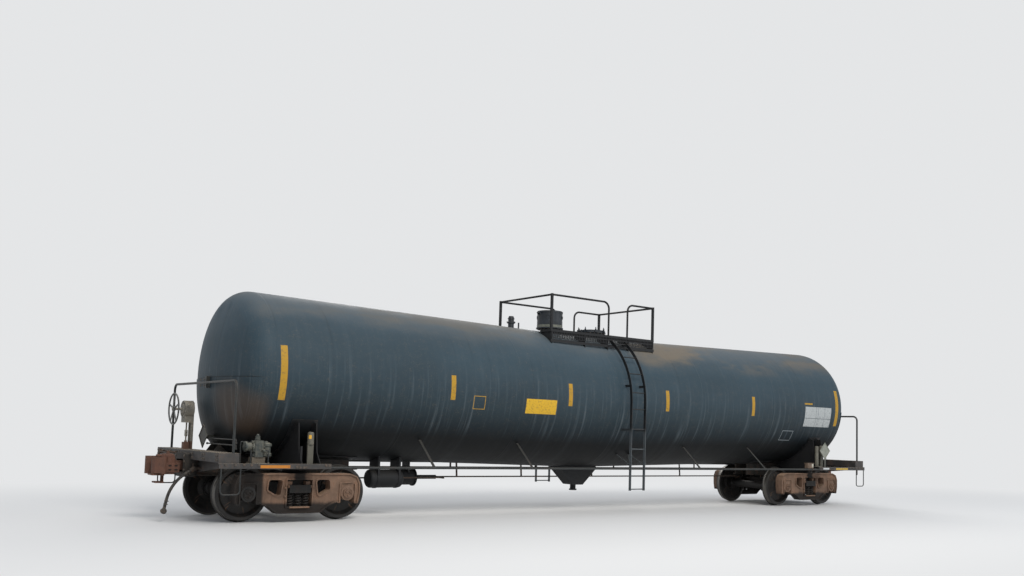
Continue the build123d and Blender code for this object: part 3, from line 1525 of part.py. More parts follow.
# Wheelsets, turned from one profile: from the middle of the axle out, as (across, radius)
back = back_to_back / 2
rim_low = wheel_radius - rim_depth
hub_back = back - 18
plate_face = back + 44 + plate_thickness
cup_start = journal_centres / 2 - bearing_length / 2
cup_end = cup_start + bearing_length
wheel_profile = [
    (0, axle_radius), (hub_back - 60, axle_radius), (hub_back - 40, wheel_seat_radius),
    (hub_back, wheel_seat_radius), (hub_back, hub_radius), (back + 48, hub_radius),
    (back + 74, hub_radius + 70), (back + 40, rim_low - 60), (back + 18, rim_low), (back, rim_low),
    (back, flange_radius - 12), (back + 9, flange_radius), (back + 20, flange_radius - 3),
    (back + 34, wheel_radius + 6), (back + 46, wheel_radius), (back + wheel_width - 6, wheel_radius - 5),
    (back + wheel_width, wheel_radius - 11), (back + wheel_width, rim_low), (plate_face - 4, rim_low - 50),
    (plate_face + 30, hub_radius + 70), (back + 150, hub_radius), (back + 155, journal_radius),
    (cup_start, journal_radius), (cup_start, bearing_radius), (cup_end, bearing_radius),
    (cup_end + 6, end_cap_radius), (cup_end + end_cap_length, end_cap_radius), (cup_end + end_cap_length, 0),
]
for end, side in ends:
    for place, way in (("outer", 1), ("inner", -1)):
        x = side * (truck_centre + way * half_base)
        with BuildPart() as wheelset:
            with BuildSketch(Plane.YZ.offset(x)):
                Polygon(
                    *[(across, axle_height + radius) for across, radius in wheel_profile],
                    *[(-across, axle_height + radius) for across, radius in reversed(wheel_profile)],
                    align=None,
                )
            revolve(axis=Axis((x, 0, axle_height), (0, 1, 0)))
        write(wheelset, f"wheelset_{end}_{place}")
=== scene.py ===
import itertools
import math

import bmesh
import bpy
from mathutils import Matrix, Vector


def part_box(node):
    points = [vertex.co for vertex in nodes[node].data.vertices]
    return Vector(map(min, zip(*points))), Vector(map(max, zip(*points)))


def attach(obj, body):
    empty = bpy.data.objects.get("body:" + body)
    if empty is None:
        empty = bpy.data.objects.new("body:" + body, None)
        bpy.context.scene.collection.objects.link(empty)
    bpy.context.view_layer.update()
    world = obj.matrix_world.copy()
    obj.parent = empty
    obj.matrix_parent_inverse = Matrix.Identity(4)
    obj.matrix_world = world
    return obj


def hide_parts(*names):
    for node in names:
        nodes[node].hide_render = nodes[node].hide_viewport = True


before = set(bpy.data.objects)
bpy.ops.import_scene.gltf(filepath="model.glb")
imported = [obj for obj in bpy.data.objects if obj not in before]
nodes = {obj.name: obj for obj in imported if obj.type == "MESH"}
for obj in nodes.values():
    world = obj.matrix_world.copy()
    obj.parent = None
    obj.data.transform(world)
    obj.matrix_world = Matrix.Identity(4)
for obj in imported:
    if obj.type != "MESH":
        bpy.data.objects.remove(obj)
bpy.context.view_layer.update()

railTop = 0.025
endSides = {"b": -1, "a": 1}
truckCentre = 6.917
print("frame loaded:", len(nodes), "nodes")


def addObject(name, data):
    piece = bpy.data.objects.new(name, data)
    bpy.context.scene.collection.objects.link(piece)
    return piece


# camera, fitted to the photograph
cameraPlace = {
    "at": Vector((-13.835, -16.285, 1.612)),
    "yaw": 0.6376, "pitch": 0.0840, "roll": 0.0310,
    "lens": 33.93, "shiftUp": 0.0617,
}
yaw, pitch, roll = (cameraPlace[k] for k in ("yaw", "pitch", "roll"))
ahead = Vector((math.sin(yaw) * math.cos(pitch), math.cos(yaw) * math.cos(pitch), math.sin(pitch)))
level = Vector((math.cos(yaw), -math.sin(yaw), 0))
rise = level.cross(ahead)
right = level * math.cos(roll) + rise * math.sin(roll)
up = rise * math.cos(roll) - level * math.sin(roll)
cameraData = bpy.data.cameras.new("photoCamera")
cameraData.lens = cameraPlace["lens"]
cameraData.sensor_width = 36.0
cameraData.sensor_fit = "HORIZONTAL"
cameraData.shift_y = cameraPlace["shiftUp"]
cameraData.clip_end = 1000.0
camera = addObject("photoCamera", cameraData)
turned = Matrix((right, up, -ahead)).transposed().to_4x4()
camera.matrix_world = Matrix.Translation(cameraPlace["at"]) @ turned
bpy.context.scene.camera = camera

# air hoses: each leaves the angle cock and hangs to its coupling, free at that end
airHose = {
    "diameter": 0.05,
    "length": 0.72,
    "route": (
        (8.5127, 0.33, 0.823), (8.6255, 0.33, 0.7579), (8.7357, 0.33, 0.656),
        (8.8197, 0.33, 0.532), (8.8737, 0.33, 0.392), (8.8997, 0.33, 0.244),
    ),
}


def curveData(name, runs, radius, steps=12):
    data = bpy.data.curves.new(name, "CURVE")
    data.dimensions = "3D"
    data.resolution_u = steps
    data.bevel_depth = 1.0 if radius else 0.0  # each point's radius gives the thickness
    data.bevel_resolution = 5
    data.use_fill_caps = radius > 0
    for run in runs:
        spline = data.splines.new("NURBS")
        spline.points.add(len(run) - 1)
        for point, place in zip(spline.points, run):
            point.co = (*place, 1.0)
            point.radius = radius
        spline.order_u = 3
        spline.use_endpoint_u = True
    return data


def linePoints(run):  # points along a route's own smooth line
    probe = bpy.data.objects.new("probe", curveData("probe", [run], 0.0, 16))
    mesh = bpy.data.meshes.new_from_object(probe)
    points = [vertex.co.copy() for vertex in mesh.vertices]
    bpy.data.objects.remove(probe)
    return points


hoses = {}
hoseLines = {}
for end, side in endSides.items():
    route = [(side * x, side * y, z) for x, y, z in airHose["route"]]
    hoseLines[end] = linePoints(route)
    hoses[end] = addObject(
        "hoseRubber_" + end, curveData("hoseRubber_" + end, [route], airHose["diameter"] / 2)
    )
    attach(hoses[end], "car")
    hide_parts("air_hose_" + end)
print("camera and hoses placed")


# maths on sockets, and the node trees of the materials and the backdrop
class Signal:
    def __init__(self, tree, socket):
        self.tree = tree
        self.socket = socket

    def maths(self, operation, *others):
        inputs = dict(enumerate((self,) + others))
        return self.tree.node("ShaderNodeMath", {"operation": operation}, inputs)

    def __add__(self, other):
        return self.maths("ADD", other)

    __radd__ = __add__

    def __sub__(self, other):
        return self.maths("SUBTRACT", other)

    def __rsub__(self, other):
        return (self * -1.0).maths("ADD", other)

    def __mul__(self, other):
        return self.maths("MULTIPLY", other)

    __rmul__ = __mul__

    def __truediv__(self, other):
        return self.maths("DIVIDE", other)

    def __abs__(self):
        return self.maths("ABSOLUTE")

    def step(self, low, high):  # 0 below low, 1 above high
        return self.tree.node(
            "ShaderNodeMapRange",
            {"interpolation_type": "SMOOTHSTEP"},
            {"Value": self, "From Min": low, "From Max": high},
        )

    def within(self, centre, half, soft=0.004):  # 1 inside a stretch of a coordinate
        return 1.0 - abs(self - centre).step(half - soft, half + soft)


class NodeTree:
    def __init__(self, owner):
        owner.use_nodes = True
        self.tree = owner.node_tree
        self.tree.nodes.clear()

    def node(self, kind, settings=None, inputs=None, output=0):
        node = self.tree.nodes.new(kind)
        for key, value in (settings or {}).items():
            if key == "stops":
                ramp = node.color_ramp.elements
                for index, (position, colour) in enumerate(value):
                    stop = ramp[index] if index < 2 else ramp.new(position)
                    stop.position = position
                    stop.color = colour
            else:
                setattr(node, key, value)
        for key, value in (inputs or {}).items():
            if isinstance(value, Signal):
                self.tree.links.new(value.socket, node.inputs[key])
            else:
                node.inputs[key].default_value = value
        return Signal(self, node.outputs[output])

    def show(self, kind, shader):
        output = self.tree.nodes.new(kind)
        self.tree.links.new(shader.socket, output.inputs["Surface"])


class Finish(NodeTree):
    def __init__(self, name):
        self.material = bpy.data.materials.new(name)
        super().__init__(self.material)
        self.place = self.node("ShaderNodeTexCoord", output="Object")
        self.facing = self.node("ShaderNodeTexCoord", output="Normal")

    def axes(self, vector):
        return [self.node("ShaderNodeSeparateXYZ", None, {0: vector}, n) for n in "XYZ"]

    def joined(self, x, y, z):
        return self.node("ShaderNodeCombineXYZ", None, {0: x, 1: y, 2: z})

    def noise(self, scale, detail=4.0, roughness=0.55, stretch=(1, 1, 1), vector=None):
        spread = self.node(
            "ShaderNodeMapping", None, {"Vector": vector or self.place, "Scale": stretch}
        )
        return self.node(
            "ShaderNodeTexNoise",
            None,
            {"Vector": spread, "Scale": scale, "Detail": detail, "Roughness": roughness},
        )

    def mix(self, factor, first, second, blend="MIX"):
        return self.node(
            "ShaderNodeMix",
            {"data_type": "RGBA", "blend_type": blend},
            {0: factor, 6: first, 7: second},
            2,
        )

    def bump(self, height, distance, strength=1.0, normal=None):
        inputs = {"Height": height, "Distance": distance, "Strength": strength}
        if normal:
            inputs["Normal"] = normal
        return self.node("ShaderNodeBump", None, inputs)

    def done(self, colour, roughness, metallic=0.0, normal=None, fixed=None):
        inputs = {"Base Color": colour, "Roughness": roughness, "Metallic": metallic}
        if normal:
            inputs["Normal"] = normal
        inputs.update(fixed or {})
        self.show("ShaderNodeOutputMaterial", self.node("ShaderNodeBsdfPrincipled", None, inputs))
        return self.material


def rgb(code):  # a colour as it looks on screen, made linear
    values = [int(code[i:i + 2], 16) / 255 for i in (0, 2, 4)]
    linear = [v / 12.92 if v <= 0.04045 else ((v + 0.055) / 1.055) ** 2.4 for v in values]
    return (*linear, 1.0)


# black paint gone grey, with painted shade that darkens it to near black on the belly
tankLook = {
    "axisHeight": railTop + 2.31,
    "fall": 1 / 48,
    "radius": 1.43,
    "tones": (
        (0.0, rgb("06090b")), (0.17, rgb("0a0e11")), (0.25, rgb("1a242a")), (0.38, rgb("29363d")),
        (0.5, rgb("2d3c45")), (0.7, rgb("30414b")), (0.9, rgb("404f59")), (1.0, rgb("4c575e")),
    ),
    "veil": rgb("62676a"),
    "dust": rgb("85745d"),
    "headDust": rgb("5e4b3b"),
    "streak": rgb("79848b"),
    "soot": rgb("14181b"),
    "yellow": rgb("a8822a"),
    "brightYellow": rgb("c9a02f"),
    "pale": rgb("9aa2a6"),
    "panel": rgb("b4b8b8"),
    "welds": (-7.58, -5.05, -2.55, 0.0, 2.55, 5.05, 7.58), "weldSize": (0.012, 0.008),
    "gloss": 0.55, "lineWidth": 0.012,
}
# marks on the near side as (x, width, low, high), heights above the rail
yellowStripes = [
    (-7.44, 0.12, 2.0, 2.9), (-4.13, 0.10, 2.15, 2.6), (-1.32, 0.10, 2.15, 2.6),
    (1.44, 0.10, 2.15, 2.6), (4.30, 0.10, 2.15, 2.6), (7.55, 0.12, 2.0, 2.9),
    (6.39, 0.31, 2.50, 2.54),
]
yellowPanel = (-2.05, 0.76, 1.965, 2.25)
yellowOutline = (-3.53, 0.27, 2.0, 2.25)
paleOutline = (5.75, 0.42, 1.60, 1.84)
whitePanel = (6.79, 1.05, 1.96, 2.45)


def makeTankPaint():
    look = tankLook
    f = Finish("tankPaint")
    x, y, z = f.axes(f.place)
    height = z - look["axisHeight"] - abs(x) * look["fall"]
    rise = height / look["radius"]
    # a ramp by height: painted shade, darkest on the belly
    colour = f.node("ShaderNodeValToRGB", {"stops": look["tones"]}, {0: rise * 0.5 + 0.5})
    clouds = f.noise(0.5, 5.0, 0.6, (0.6, 1.0, 1.6))
    colour = f.mix(clouds.step(0.35, 0.7) * 0.22, colour, look["soot"])
    # rain streaks, straight down the shell and the heads
    onHead = abs(x).step(7.7, 7.95)
    across = x + (y - x) * onHead
    downward = f.joined(across, rise * 0.3, onHead)
    streaks = f.noise(7.0, 6.0, 0.62, (1.5, 0.3, 1.0), downward)
    lower = rise.step(-0.66, -0.45) * (1.0 - rise.step(-0.1, 0.35))
    colour = f.mix(streaks.step(0.50, 0.78) * (lower * 0.30 + 0.04), colour, look["streak"])
    runs = f.noise(10.0, 5.0, 0.65, (1.0, 0.12, 1.0), downward)
    colour = f.mix(runs.step(0.56, 0.75) * 0.28, colour, look["soot"])
    # a grey veil over the crest, and brown dust in patches, strongest past the ladder
    patches = f.noise(0.9, 5.0, 0.6, (0.45, 1.0, 1.0))
    crest = (rise + patches * 0.25).step(0.72, 0.98) * (1.0 - onHead)
    colour = f.mix(crest * 0.30, colour, look["veil"])
    past = x.step(0.4, 1.2) * (1.0 - x.step(3.6, 7.0) * 0.6)
    dust = (patches + past * 0.05).step(0.47, 0.64) * (rise + past * 0.12).step(0.52, 0.85)
    colour = f.mix(dust * (0.22 + past * 0.28) * (1.0 - onHead), colour, look["dust"])
    # rusty dust thrown up on the lower half of each head, under a level seam
    lean = rise + 0.46
    sideways = (y * x.maths("SIGN") * -1.0 + 0.98 - lean * 0.9) / 0.80
    above = lean / 0.38
    blot = 1.0 - (sideways * sideways + above * above + patches * 0.6).step(0.45, 1.45)
    seam = height.within(-0.115, 0.007, 0.006) * onHead
    colour = f.mix(blot * abs(x).step(7.5, 7.8) * 0.36, colour, look["headDust"])
    colour = f.mix(seam * 0.7, colour, look["soot"])
    grain = f.noise(38.0, 5.0, 0.7)
    speck = f.noise(9.0, 6.0, 0.7)
    spots = grain.step(0.45, 0.7) * speck.step(0.4, 0.7) * (0.04 + rise.step(-0.8, -0.2) * 0.14)
    colour = f.mix(spots, colour, look["dust"])
    # painted marks, which read the same from each side
    along = x * y.maths("SIGN") * -1.0
    tall = z - railTop
    wear = f.noise(24.0, 4.0, 0.65).step(0.30, 0.52)
    onSide = (1.0 - onHead) * abs(y).step(0.6, 0.8)

    def boxed(mark, grow=0.0):
        place, width, low, high = mark
        wide = along.within(place, width / 2 + grow)
        return wide * tall.within((low + high) / 2, (high - low) / 2 + grow)

    def outlined(mark):
        return boxed(mark) - boxed(mark, -look["lineWidth"])

    yellow = sum((boxed(mark) for mark in yellowStripes), outlined(yellowOutline))
    strong = boxed(yellowPanel)
    pale = outlined(paleOutline)
    place, width, low, high = whitePanel
    rules = tall.within(low + (high - low) * 0.42, 0.008)  # a blank table, ruled in rows
    for part in (0.42, 0.5, 0.75):
        rules = rules + along.within(place - width / 2 + width * part, 0.006)
    white = boxed(whitePanel) * (1.0 - rules.step(0.2, 0.8) * 0.6)
    colour = f.mix(yellow * onSide * (0.6 + wear * 0.38), colour, look["yellow"])
    colour = f.mix(strong * onSide * (0.6 + wear * 0.38), colour, look["brightYellow"])
    colour = f.mix(pale * onSide * (0.5 + wear * 0.3), colour, look["pale"])
    colour = f.mix(white * onSide * (0.48 + wear * 0.34), colour, look["panel"])
    roughness = look["gloss"] + dust * 0.2 + grain * 0.14 - streaks * 0.1 - yellow * onSide * 0.1
    # weld beads round the shell, and the faint waviness of rolled plate
    weld = sum(x.within(place, *look["weldSize"]) for place in look["welds"])
    waves = f.noise(1.3, 2.0, 0.4)
    normal = f.bump(waves, 0.02, 0.3)
    normal = f.bump(weld * 0.8 + grain * 0.14 + speck * 0.2, 0.004, 0.7, normal)
    return f.done(colour, roughness, 0.0, normal, {"Specular IOR Level": 0.19})


# old paint or bare casting: dusty on top, which on the side frames and decks is also painted light on
# their tops, streaked down its sides, rust showing in spots
def makeWorn(name, look):
    f = Finish(name)
    tones = {key: rgb(look[key]) for key in ("paint", "faded", "streak", "dust", "rust")}
    x, y, z = f.axes(f.place)
    upward = f.axes(f.facing)[2]

    def inside(box):
        return x.within(*box[0]) * abs(y).within(*box[1]) * z.within(*box[2])

    broad = f.noise(look["patch"], 5.0, 0.6)
    fine = f.noise(look["patch"] * 9.0, 5.0, 0.7)
    runs = f.noise(look["patch"] * 3.0, 5.0, 0.65, (1.0, 1.0, 0.12))
    colour = f.mix(broad.step(0.35, 0.68), tones["paint"], tones["faded"])
    colour = f.mix(runs.step(0.5, 0.72) * (1.0 - abs(upward)) * 0.45, colour, tones["streak"])
    for tone, box in look.get("areas", ()):  # stretches of the part in another colour
        colour = f.mix(inside(box) * (0.8 + fine * 0.2), colour, rgb(tone))
    # upward faces lightened: dust, and for the side frames and the decks also painted light on their
    # tops
    dust = upward.step(0.3, 0.95) * fine.step(0.2, 0.65)
    colour = f.mix(dust * look["dusty"], colour, tones["dust"])
    rust = broad.step(0.48, 0.62) * fine.step(0.48, 0.62) * look["rusty"]
    colour = f.mix(rust, colour, tones["rust"])
    if "low" in look:  # darker towards the ground: painted shade on the low parts, and grime
        tone, bottom, high = look["low"]
        depth = 1.0 - (z + broad * 0.12 - 0.06).step(bottom, high)
        colour = f.mix(depth * (1.0 - fine * 0.1), colour, rgb(tone))
    for tone, box in look.get("paintedShadowAndBlack", ()):  # dark patches over everything else: painted shadow at one truck's outer end, and black patches
        colour = f.mix(inside(box) * (1.0 - fine * 0.12), colour, rgb(tone))
    roughness = look["gloss"] + rust * 0.25 + dust * 0.2 - runs * 0.08
    pits = f.noise(look["patch"] * 26.0, 3.0, 0.6)
    normal = f.bump(fine * 0.7 + pits * look.get("cast", 0.2), 0.0025, 0.6)
    return f.done(colour, roughness, 0.0, normal, {"Specular IOR Level": 0.4})


everywhere = (0.0, 20.0)
# side frame castings: the pale dust on their upward faces also stands for painted light on their tops
casting = {
    "paint": "644f41", "faded": "7d6452", "streak": "48372b", "dust": "a88c75",
    "patch": 5.0, "dusty": 0.8, "gloss": 0.8, "cast": 0.8,
}
darkPaint = {
    "streak": "292622", "dust": "35322d", "rust": "3c281d",
    "patch": 3.0, "dusty": 0.5, "rusty": 0.4, "gloss": 0.5,
}
wornLooks = {
    "pipeBlack": {**darkPaint, "paint": "101214", "faded": "1a1e21"},
    "platformBlack": {
        "paint": "07090c", "faded": "0d1116", "streak": "161513", "dust": "2b2824", "rust": "231911",
        "patch": 4.0, "dusty": 0.5, "rusty": 0.4, "gloss": 0.7,
    },
    "ladderPaint": {
        **darkPaint, "paint": "0f1113", "faded": "181c1f",
        "areas": (("4c5256", (everywhere, everywhere, (1.1, 0.62, 0.1))),),
    },
    "railGrey": {
        "paint": "1c2021", "faded": "2b2e2e", "streak": "38352f", "dust": "433f39", "rust": "432f24",
        "patch": 4.0, "dusty": 0.55, "rusty": 0.45, "gloss": 0.5,
    },
    # deck: the pale dust on its upward faces is also painted light on the deck top
    "deckPaint": {
        "paint": "302f2f", "faded": "41403f", "streak": "4b3d32", "dust": "b3a693", "rust": "5c3e2e",
        "patch": 4.0, "dusty": 0.95, "rusty": 0.6, "gloss": 0.62,
        "areas": (
            ("b9741f", ((-7.58, 0.25), (1.598, 0.006), (0.95, 0.024))),
            ("b99a45", ((7.53, 0.25), (1.598, 0.006), (0.95, 0.024))),
            ("c3c6c6", ((6.88, 0.12), (1.598, 0.006), (0.955, 0.02))),
        ),
    },
    "uprightGrey": {
        "paint": "0a0b0e", "faded": "111216", "streak": "181613", "dust": "24211e", "rust": "1c150f",
        "patch": 3.0, "dusty": 0.4, "rusty": 0.4, "gloss": 0.75,
        "areas": (
            ("55534a", ((-6.917, 0.06), (1.44, 0.05), (1.3, 0.305))),
            ("55534a", ((6.917, 0.06), (1.44, 0.05), (1.3, 0.305))),
        ),
    },
    "sillIron": {
        "paint": "1c1a18", "faded": "302d29", "streak": "4a382c", "dust": "5d554a", "rust": "553626",
        "patch": 5.0, "dusty": 0.5, "rusty": 0.7, "gloss": 0.7,
    },
    "brakeGearGrey": {
        "paint": "74716a", "faded": "8f8b80", "streak": "52493f", "dust": "a39b8c", "rust": "6a4936",
        "patch": 7.0, "dusty": 0.6, "rusty": 0.5, "gloss": 0.62,
        "areas": (
            ("5a3d30", ((-8.32, 0.09), everywhere, (1.2, 0.09))),
        ),
    },
    "valveGrey": {
        "paint": "323736", "faded": "55574f", "streak": "262725", "dust": "8c897d", "rust": "5b4638",
        "patch": 11.0, "dusty": 0.7, "rusty": 0.5, "gloss": 0.6, "cast": 0.5,
        "areas": (("5c5347", (everywhere, everywhere, (1.0, 0.09))),),
    },
    "handWheelPaint": {
        "paint": "17181a", "faded": "6f706e", "streak": "2a2b2c", "dust": "8a8a86", "rust": "2b2522",
        "patch": 14.0, "dusty": 0.7, "rusty": 0.3, "gloss": 0.45,
    },
    "holderGrey": {
        "paint": "73766d", "faded": "8d8f86", "streak": "5c5a50", "dust": "a09c8f", "rust": "6b5444",
        "patch": 6.0, "dusty": 0.4, "rusty": 0.35, "gloss": 0.55,
        "areas": (
            ("131311", (everywhere, (0.0, 0.5), everywhere)),
            ("45453f", (everywhere, everywhere, (0.9, 0.28))),
        ),
    },
    "rodRust": {
        "paint": "2c2723", "faded": "473a30", "streak": "5a4433", "dust": "6c6154", "rust": "6a452f",
        "patch": 6.0, "dusty": 0.4, "rusty": 0.7, "gloss": 0.7,
    },
    "truckCasting": {
        **casting, "rust": "6f4631", "rusty": 0.55,
        # painted shade with grime: the side frames go dark below about 0.3 m
        "low": ("100d0b", 0.29, 0.37),
        "paintedShadowAndBlack": (  # painted shadow over the outer journals of truck b, and black on the top chords where each bolster rests
            ("0f0e0d", ((-7.90, 0.34, 0.03), (1.1, 0.4), everywhere)),
            ("100f0e", ((-6.917, 0.10, 0.03), (1.1, 0.4), (0.76, 0.09, 0.02))),
            ("100f0e", ((6.917, 0.10, 0.03), (1.1, 0.4), (0.76, 0.09, 0.02))),
        ),
    },
    "trimCasting": {
        **casting, "rust": "7a4a30", "rusty": 0.6,
        # painted shadow over the outer journals of truck b
        "paintedShadowAndBlack": (("0f0e0d", ((-7.90, 0.34, 0.03), (1.1, 0.4), everywhere)),),
    },
    "truckDark": {
        "paint": "121211", "faded": "1e1c1a", "streak": "2e241d", "dust": "3f362e", "rust": "38261b",
        "patch": 6.0, "dusty": 0.4, "rusty": 0.5, "gloss": 0.75, "cast": 0.8,
    },
    "couplerIron": {
        "paint": "50372c", "faded": "674537", "streak": "3a2821", "dust": "604637", "rust": "35221a",
        "patch": 8.0, "dusty": 0.35, "rusty": 0.7, "gloss": 0.78, "cast": 0.9,
    },
    "capGrey": {
        "paint": "55534a", "faded": "6b685e", "streak": "3f3c35", "dust": "7d776a", "rust": "5a4334",
        "patch": 5.0, "dusty": 0.5, "rusty": 0.4, "gloss": 0.6,
        "areas": (
            ("d9a32c", ((-6.945, 0.018), (1.46, 0.05), (1.435, 0.032))),
            ("d9a32c", ((6.945, 0.018), (1.46, 0.05), (1.435, 0.032))),
        ),
    },
    "boxTan": {
        "paint": "5a4a3e", "faded": "705e4e", "streak": "463a30", "dust": "8a7a68", "rust": "5e3f2d",
        "patch": 9.0, "dusty": 0.5, "rusty": 0.4, "gloss": 0.6,
        "areas": (("b9b6a9", ((6.35, 0.035), (1.585, 0.01), (1.03, 0.04))),),
    },
    "slotShadow": {
        "paint": "120d0b", "faded": "1c1410", "streak": "201611", "dust": "2c2019", "rust": "1c120d",
        "patch": 8.0, "dusty": 0.3, "rusty": 0.4, "gloss": 0.85,
    },
    "springSteel": {
        "paint": "151413", "faded": "221e1b", "streak": "30251e", "dust": "4a3e34", "rust": "3e2a1d",
        "patch": 12.0, "dusty": 0.5, "rusty": 0.5, "gloss": 0.65,
    },
    "topBlack": {
        "paint": "161c22", "faded": "262e37", "streak": "282826", "dust": "4b4842", "rust": "3c2f27",
        "patch": 4.0, "dusty": 0.5, "rusty": 0.3, "gloss": 0.5,
    },
    "bandGrey": {
        "paint": "5d6058", "faded": "73756b", "streak": "4a4a44", "dust": "88857a", "rust": "5e5044",
        "patch": 8.0, "dusty": 0.4, "rusty": 0.4, "gloss": 0.55,
    },
    "boltSteel": {
        "paint": "3a3631", "faded": "575048", "streak": "4a3a2e", "dust": "7a7064", "rust": "6a452f",
        "patch": 20.0, "dusty": 0.4, "rusty": 0.7, "gloss": 0.55,
    },
}

wheelLook = {
    "axleHeight": 0.482, "halfBase": 0.889,
    "dark": rgb("0b0b0b"), "brown": rgb("13110f"), "tan": rgb("6e543f"),
    "cap": rgb("7a5f4c"), "bright": rgb("807d78"), "rim": rgb("1b1a19"),
}


def makeWheelSteel():  # oily black plates with rusty runs, a dull rim and a polished tread
    look = wheelLook
    f = Finish("wheelSteel")
    x, y, z = f.axes(f.place)
    sideways = abs(abs(x) - truckCentre) - look["halfBase"]
    drop = z - look["axleHeight"]
    radius = (sideways * sideways + drop * drop + 0.0001).maths("SQRT")
    outward = f.joined(sideways / radius, drop / radius, radius * 0.5)
    rays = f.noise(4.5, 5.0, 0.65, (1, 1, 1), outward)
    broad = f.noise(5.0, 5.0, 0.6)
    fine = f.noise(34.0, 5.0, 0.7)
    colour = f.mix(broad.step(0.35, 0.7), look["dark"], look["brown"])
    plate = radius.step(0.13, 0.2) * (1.0 - radius.step(0.36, 0.42))
    colour = f.mix(rays.step(0.54, 0.66) * plate * 0.7, colour, look["tan"])
    colour = f.mix(fine.step(0.5, 0.75) * 0.12, colour, look["tan"])
    rim = radius.step(0.40, 0.41) * (1.0 - radius.step(0.452, 0.455))
    colour = f.mix(rim * 0.7, colour, look["rim"])
    tread = radius.within(0.459, 0.006, 0.002) * fine.step(0.2, 0.45)
    colour = f.mix(tread * 0.6, colour, look["bright"])
    # tan bearing caps, left dark at truck b's outer end as painted shadow
    cap = abs(y).step(0.95, 0.98) * (0.6 + fine * 0.4) * (1.0 - x.within(-7.9, 0.34, 0.03))
    colour = f.mix(cap, colour, look["cap"])
    shine = tread * 0.9 + rim * 0.1
    normal = f.bump(fine + rays * 0.6, 0.002, 0.5)
    return f.done(colour, 0.62 - shine * 0.25, shine, normal)


def makeHoseRubber():  # dusty rubber with a woven cover
    f = Finish("hoseRubber")
    broad = f.noise(9.0, 4.0, 0.6)
    fine = f.noise(90.0, 4.0, 0.7)
    weave = f.node("ShaderNodeTexWave", {"wave_type": "BANDS", "bands_direction": "DIAGONAL"},
                   {"Vector": f.place, "Scale": 60.0, "Distortion": 1.5}, 1)
    colour = f.mix(broad.step(0.4, 0.7) * 0.7, rgb("1f1f1e"), rgb("45403a"))
    colour = f.mix(fine.step(0.5, 0.7) * 0.4, colour, rgb("5c544b"))
    normal = f.bump(weave * 0.6 + fine * 0.4, 0.0015, 0.5)
    return f.done(colour, 0.8 - broad * 0.1, 0.0, normal)


finishes = {name: makeWorn(name, look) for name, look in wornLooks.items()}
finishes["tankPaint"] = makeTankPaint()
finishes["wheelSteel"] = makeWheelSteel()
finishes["hoseRubber"] = makeHoseRubber()
finishByStart = {
    "tank": "tankPaint", "head_shields": "tankPaint", "saddle_pads": "pipeBlack",
    "end_platform": "deckPaint", "end_rails": "railGrey", "side_rails": "railGrey",
    "top_rails": "platformBlack", "top_platform": "platformBlack", "ladders": "ladderPaint",
    "corner_steps": "railGrey", "stub_sill": "sillIron", "body_bolsters": "uprightGrey",
    "placard_holders": "holderGrey", "uncoupling_levers": "rodRust", "brake_rods": "rodRust",
    # the air reservoir, brake cylinder and bottom outlet take the darkest black as painted shade under
    # the car
    "train_pipe": "rodRust", "air_reservoir": "platformBlack", "brake_cylinder": "platformBlack",
    "bottom_outlet": "platformBlack", "control_valve": "valveGrey", "hand_brake": "brakeGearGrey",
    "brake_wheel": "handWheelPaint", "manway": "topBlack", "valve_housing": "topBlack",
    "housing_lid": "topBlack", "relief_valve": "topBlack", "coupler": "couplerIron",
    "wheelset": "wheelSteel", "glad_hand": "boltSteel", "air_hose": "hoseRubber",
}
for name, node in nodes.items():
    start = max((key for key in finishByStart if name.startswith(key)), key=len, default="")
    finish = finishByStart.get(start)
    if name.endswith("side_frames"):
        finish = "truckCasting"
    elif name.startswith("truck_"):
        finish = "truckDark"
    node.data.materials.clear()
    node.data.materials.append(finishes[finish])
for hose in hoses.values():
    hose.data.materials.append(finishes["hoseRubber"])
print("finishes made:", len(finishes))


# small shapes that the pieces are built from
def aim(at, axis=(0, 0, 1), spin=0.0):  # a place whose own Z points along axis
    turn = Vector(axis).to_track_quat("Z", "Y").to_matrix().to_4x4()
    return Matrix.Translation(at) @ turn @ Matrix.Rotation(spin, 4, "Z")


def soften(shape, edges, width, segments=2):
    bmesh.ops.bevel(
        shape, geom=list(edges), offset=width, offset_type="OFFSET", affect="EDGES",
        segments=segments, profile=0.5, material=-1, clamp_overlap=True,
    )


def block(shape, size, where, round=0.0, taper=1.0):
    made = bmesh.ops.create_cube(
        shape, size=1.0, matrix=where @ Matrix.Diagonal((*size, 1.0))
    )
    if taper != 1.0:  # narrows the side towards +Z
        inverse = where.inverted()
        for vertex in made["verts"]:
            local = inverse @ vertex.co
            if local.z > 0:
                vertex.co = where @ Vector((local.x * taper, local.y * taper, local.z))
    if round:
        soften(shape, {e for v in made["verts"] for e in v.link_edges}, round)


def drum(shape, radius, depth, where, segments=24, round=0.0, top=None):
    made = bmesh.ops.create_cone(
        shape, cap_ends=True, segments=segments, radius1=radius,
        radius2=radius if top is None else top, depth=depth, matrix=where,
    )
    if round:
        edges = {e for v in made["verts"] for e in v.link_edges}
        soften(shape, [e for e in edges if any(len(g.verts) > 4 for g in e.link_faces)], round)


def bolt(shape, at, axis, across=0.03, tall=0.02):
    out = Vector(axis).normalized()
    drum(shape, across * 0.75, tall * 0.3, aim(Vector(at) + out * tall * 0.15, axis), 14)
    drum(shape, across * 0.56, tall, aim(Vector(at) + out * tall * 0.5, axis, 0.4), 6)


def boltRing(shape, centre, axis, circle, count, start, across, tall):
    flat = [n for n in range(3) if not axis[n]]  # the two directions square to the axis
    for turn in range(count):
        angle = turn * 2 * math.pi / count + start
        spot = Vector(centre)
        spot[flat[0]] += math.cos(angle) * circle
        spot[flat[1]] += math.sin(angle) * circle
        bolt(shape, spot, axis, across, tall)


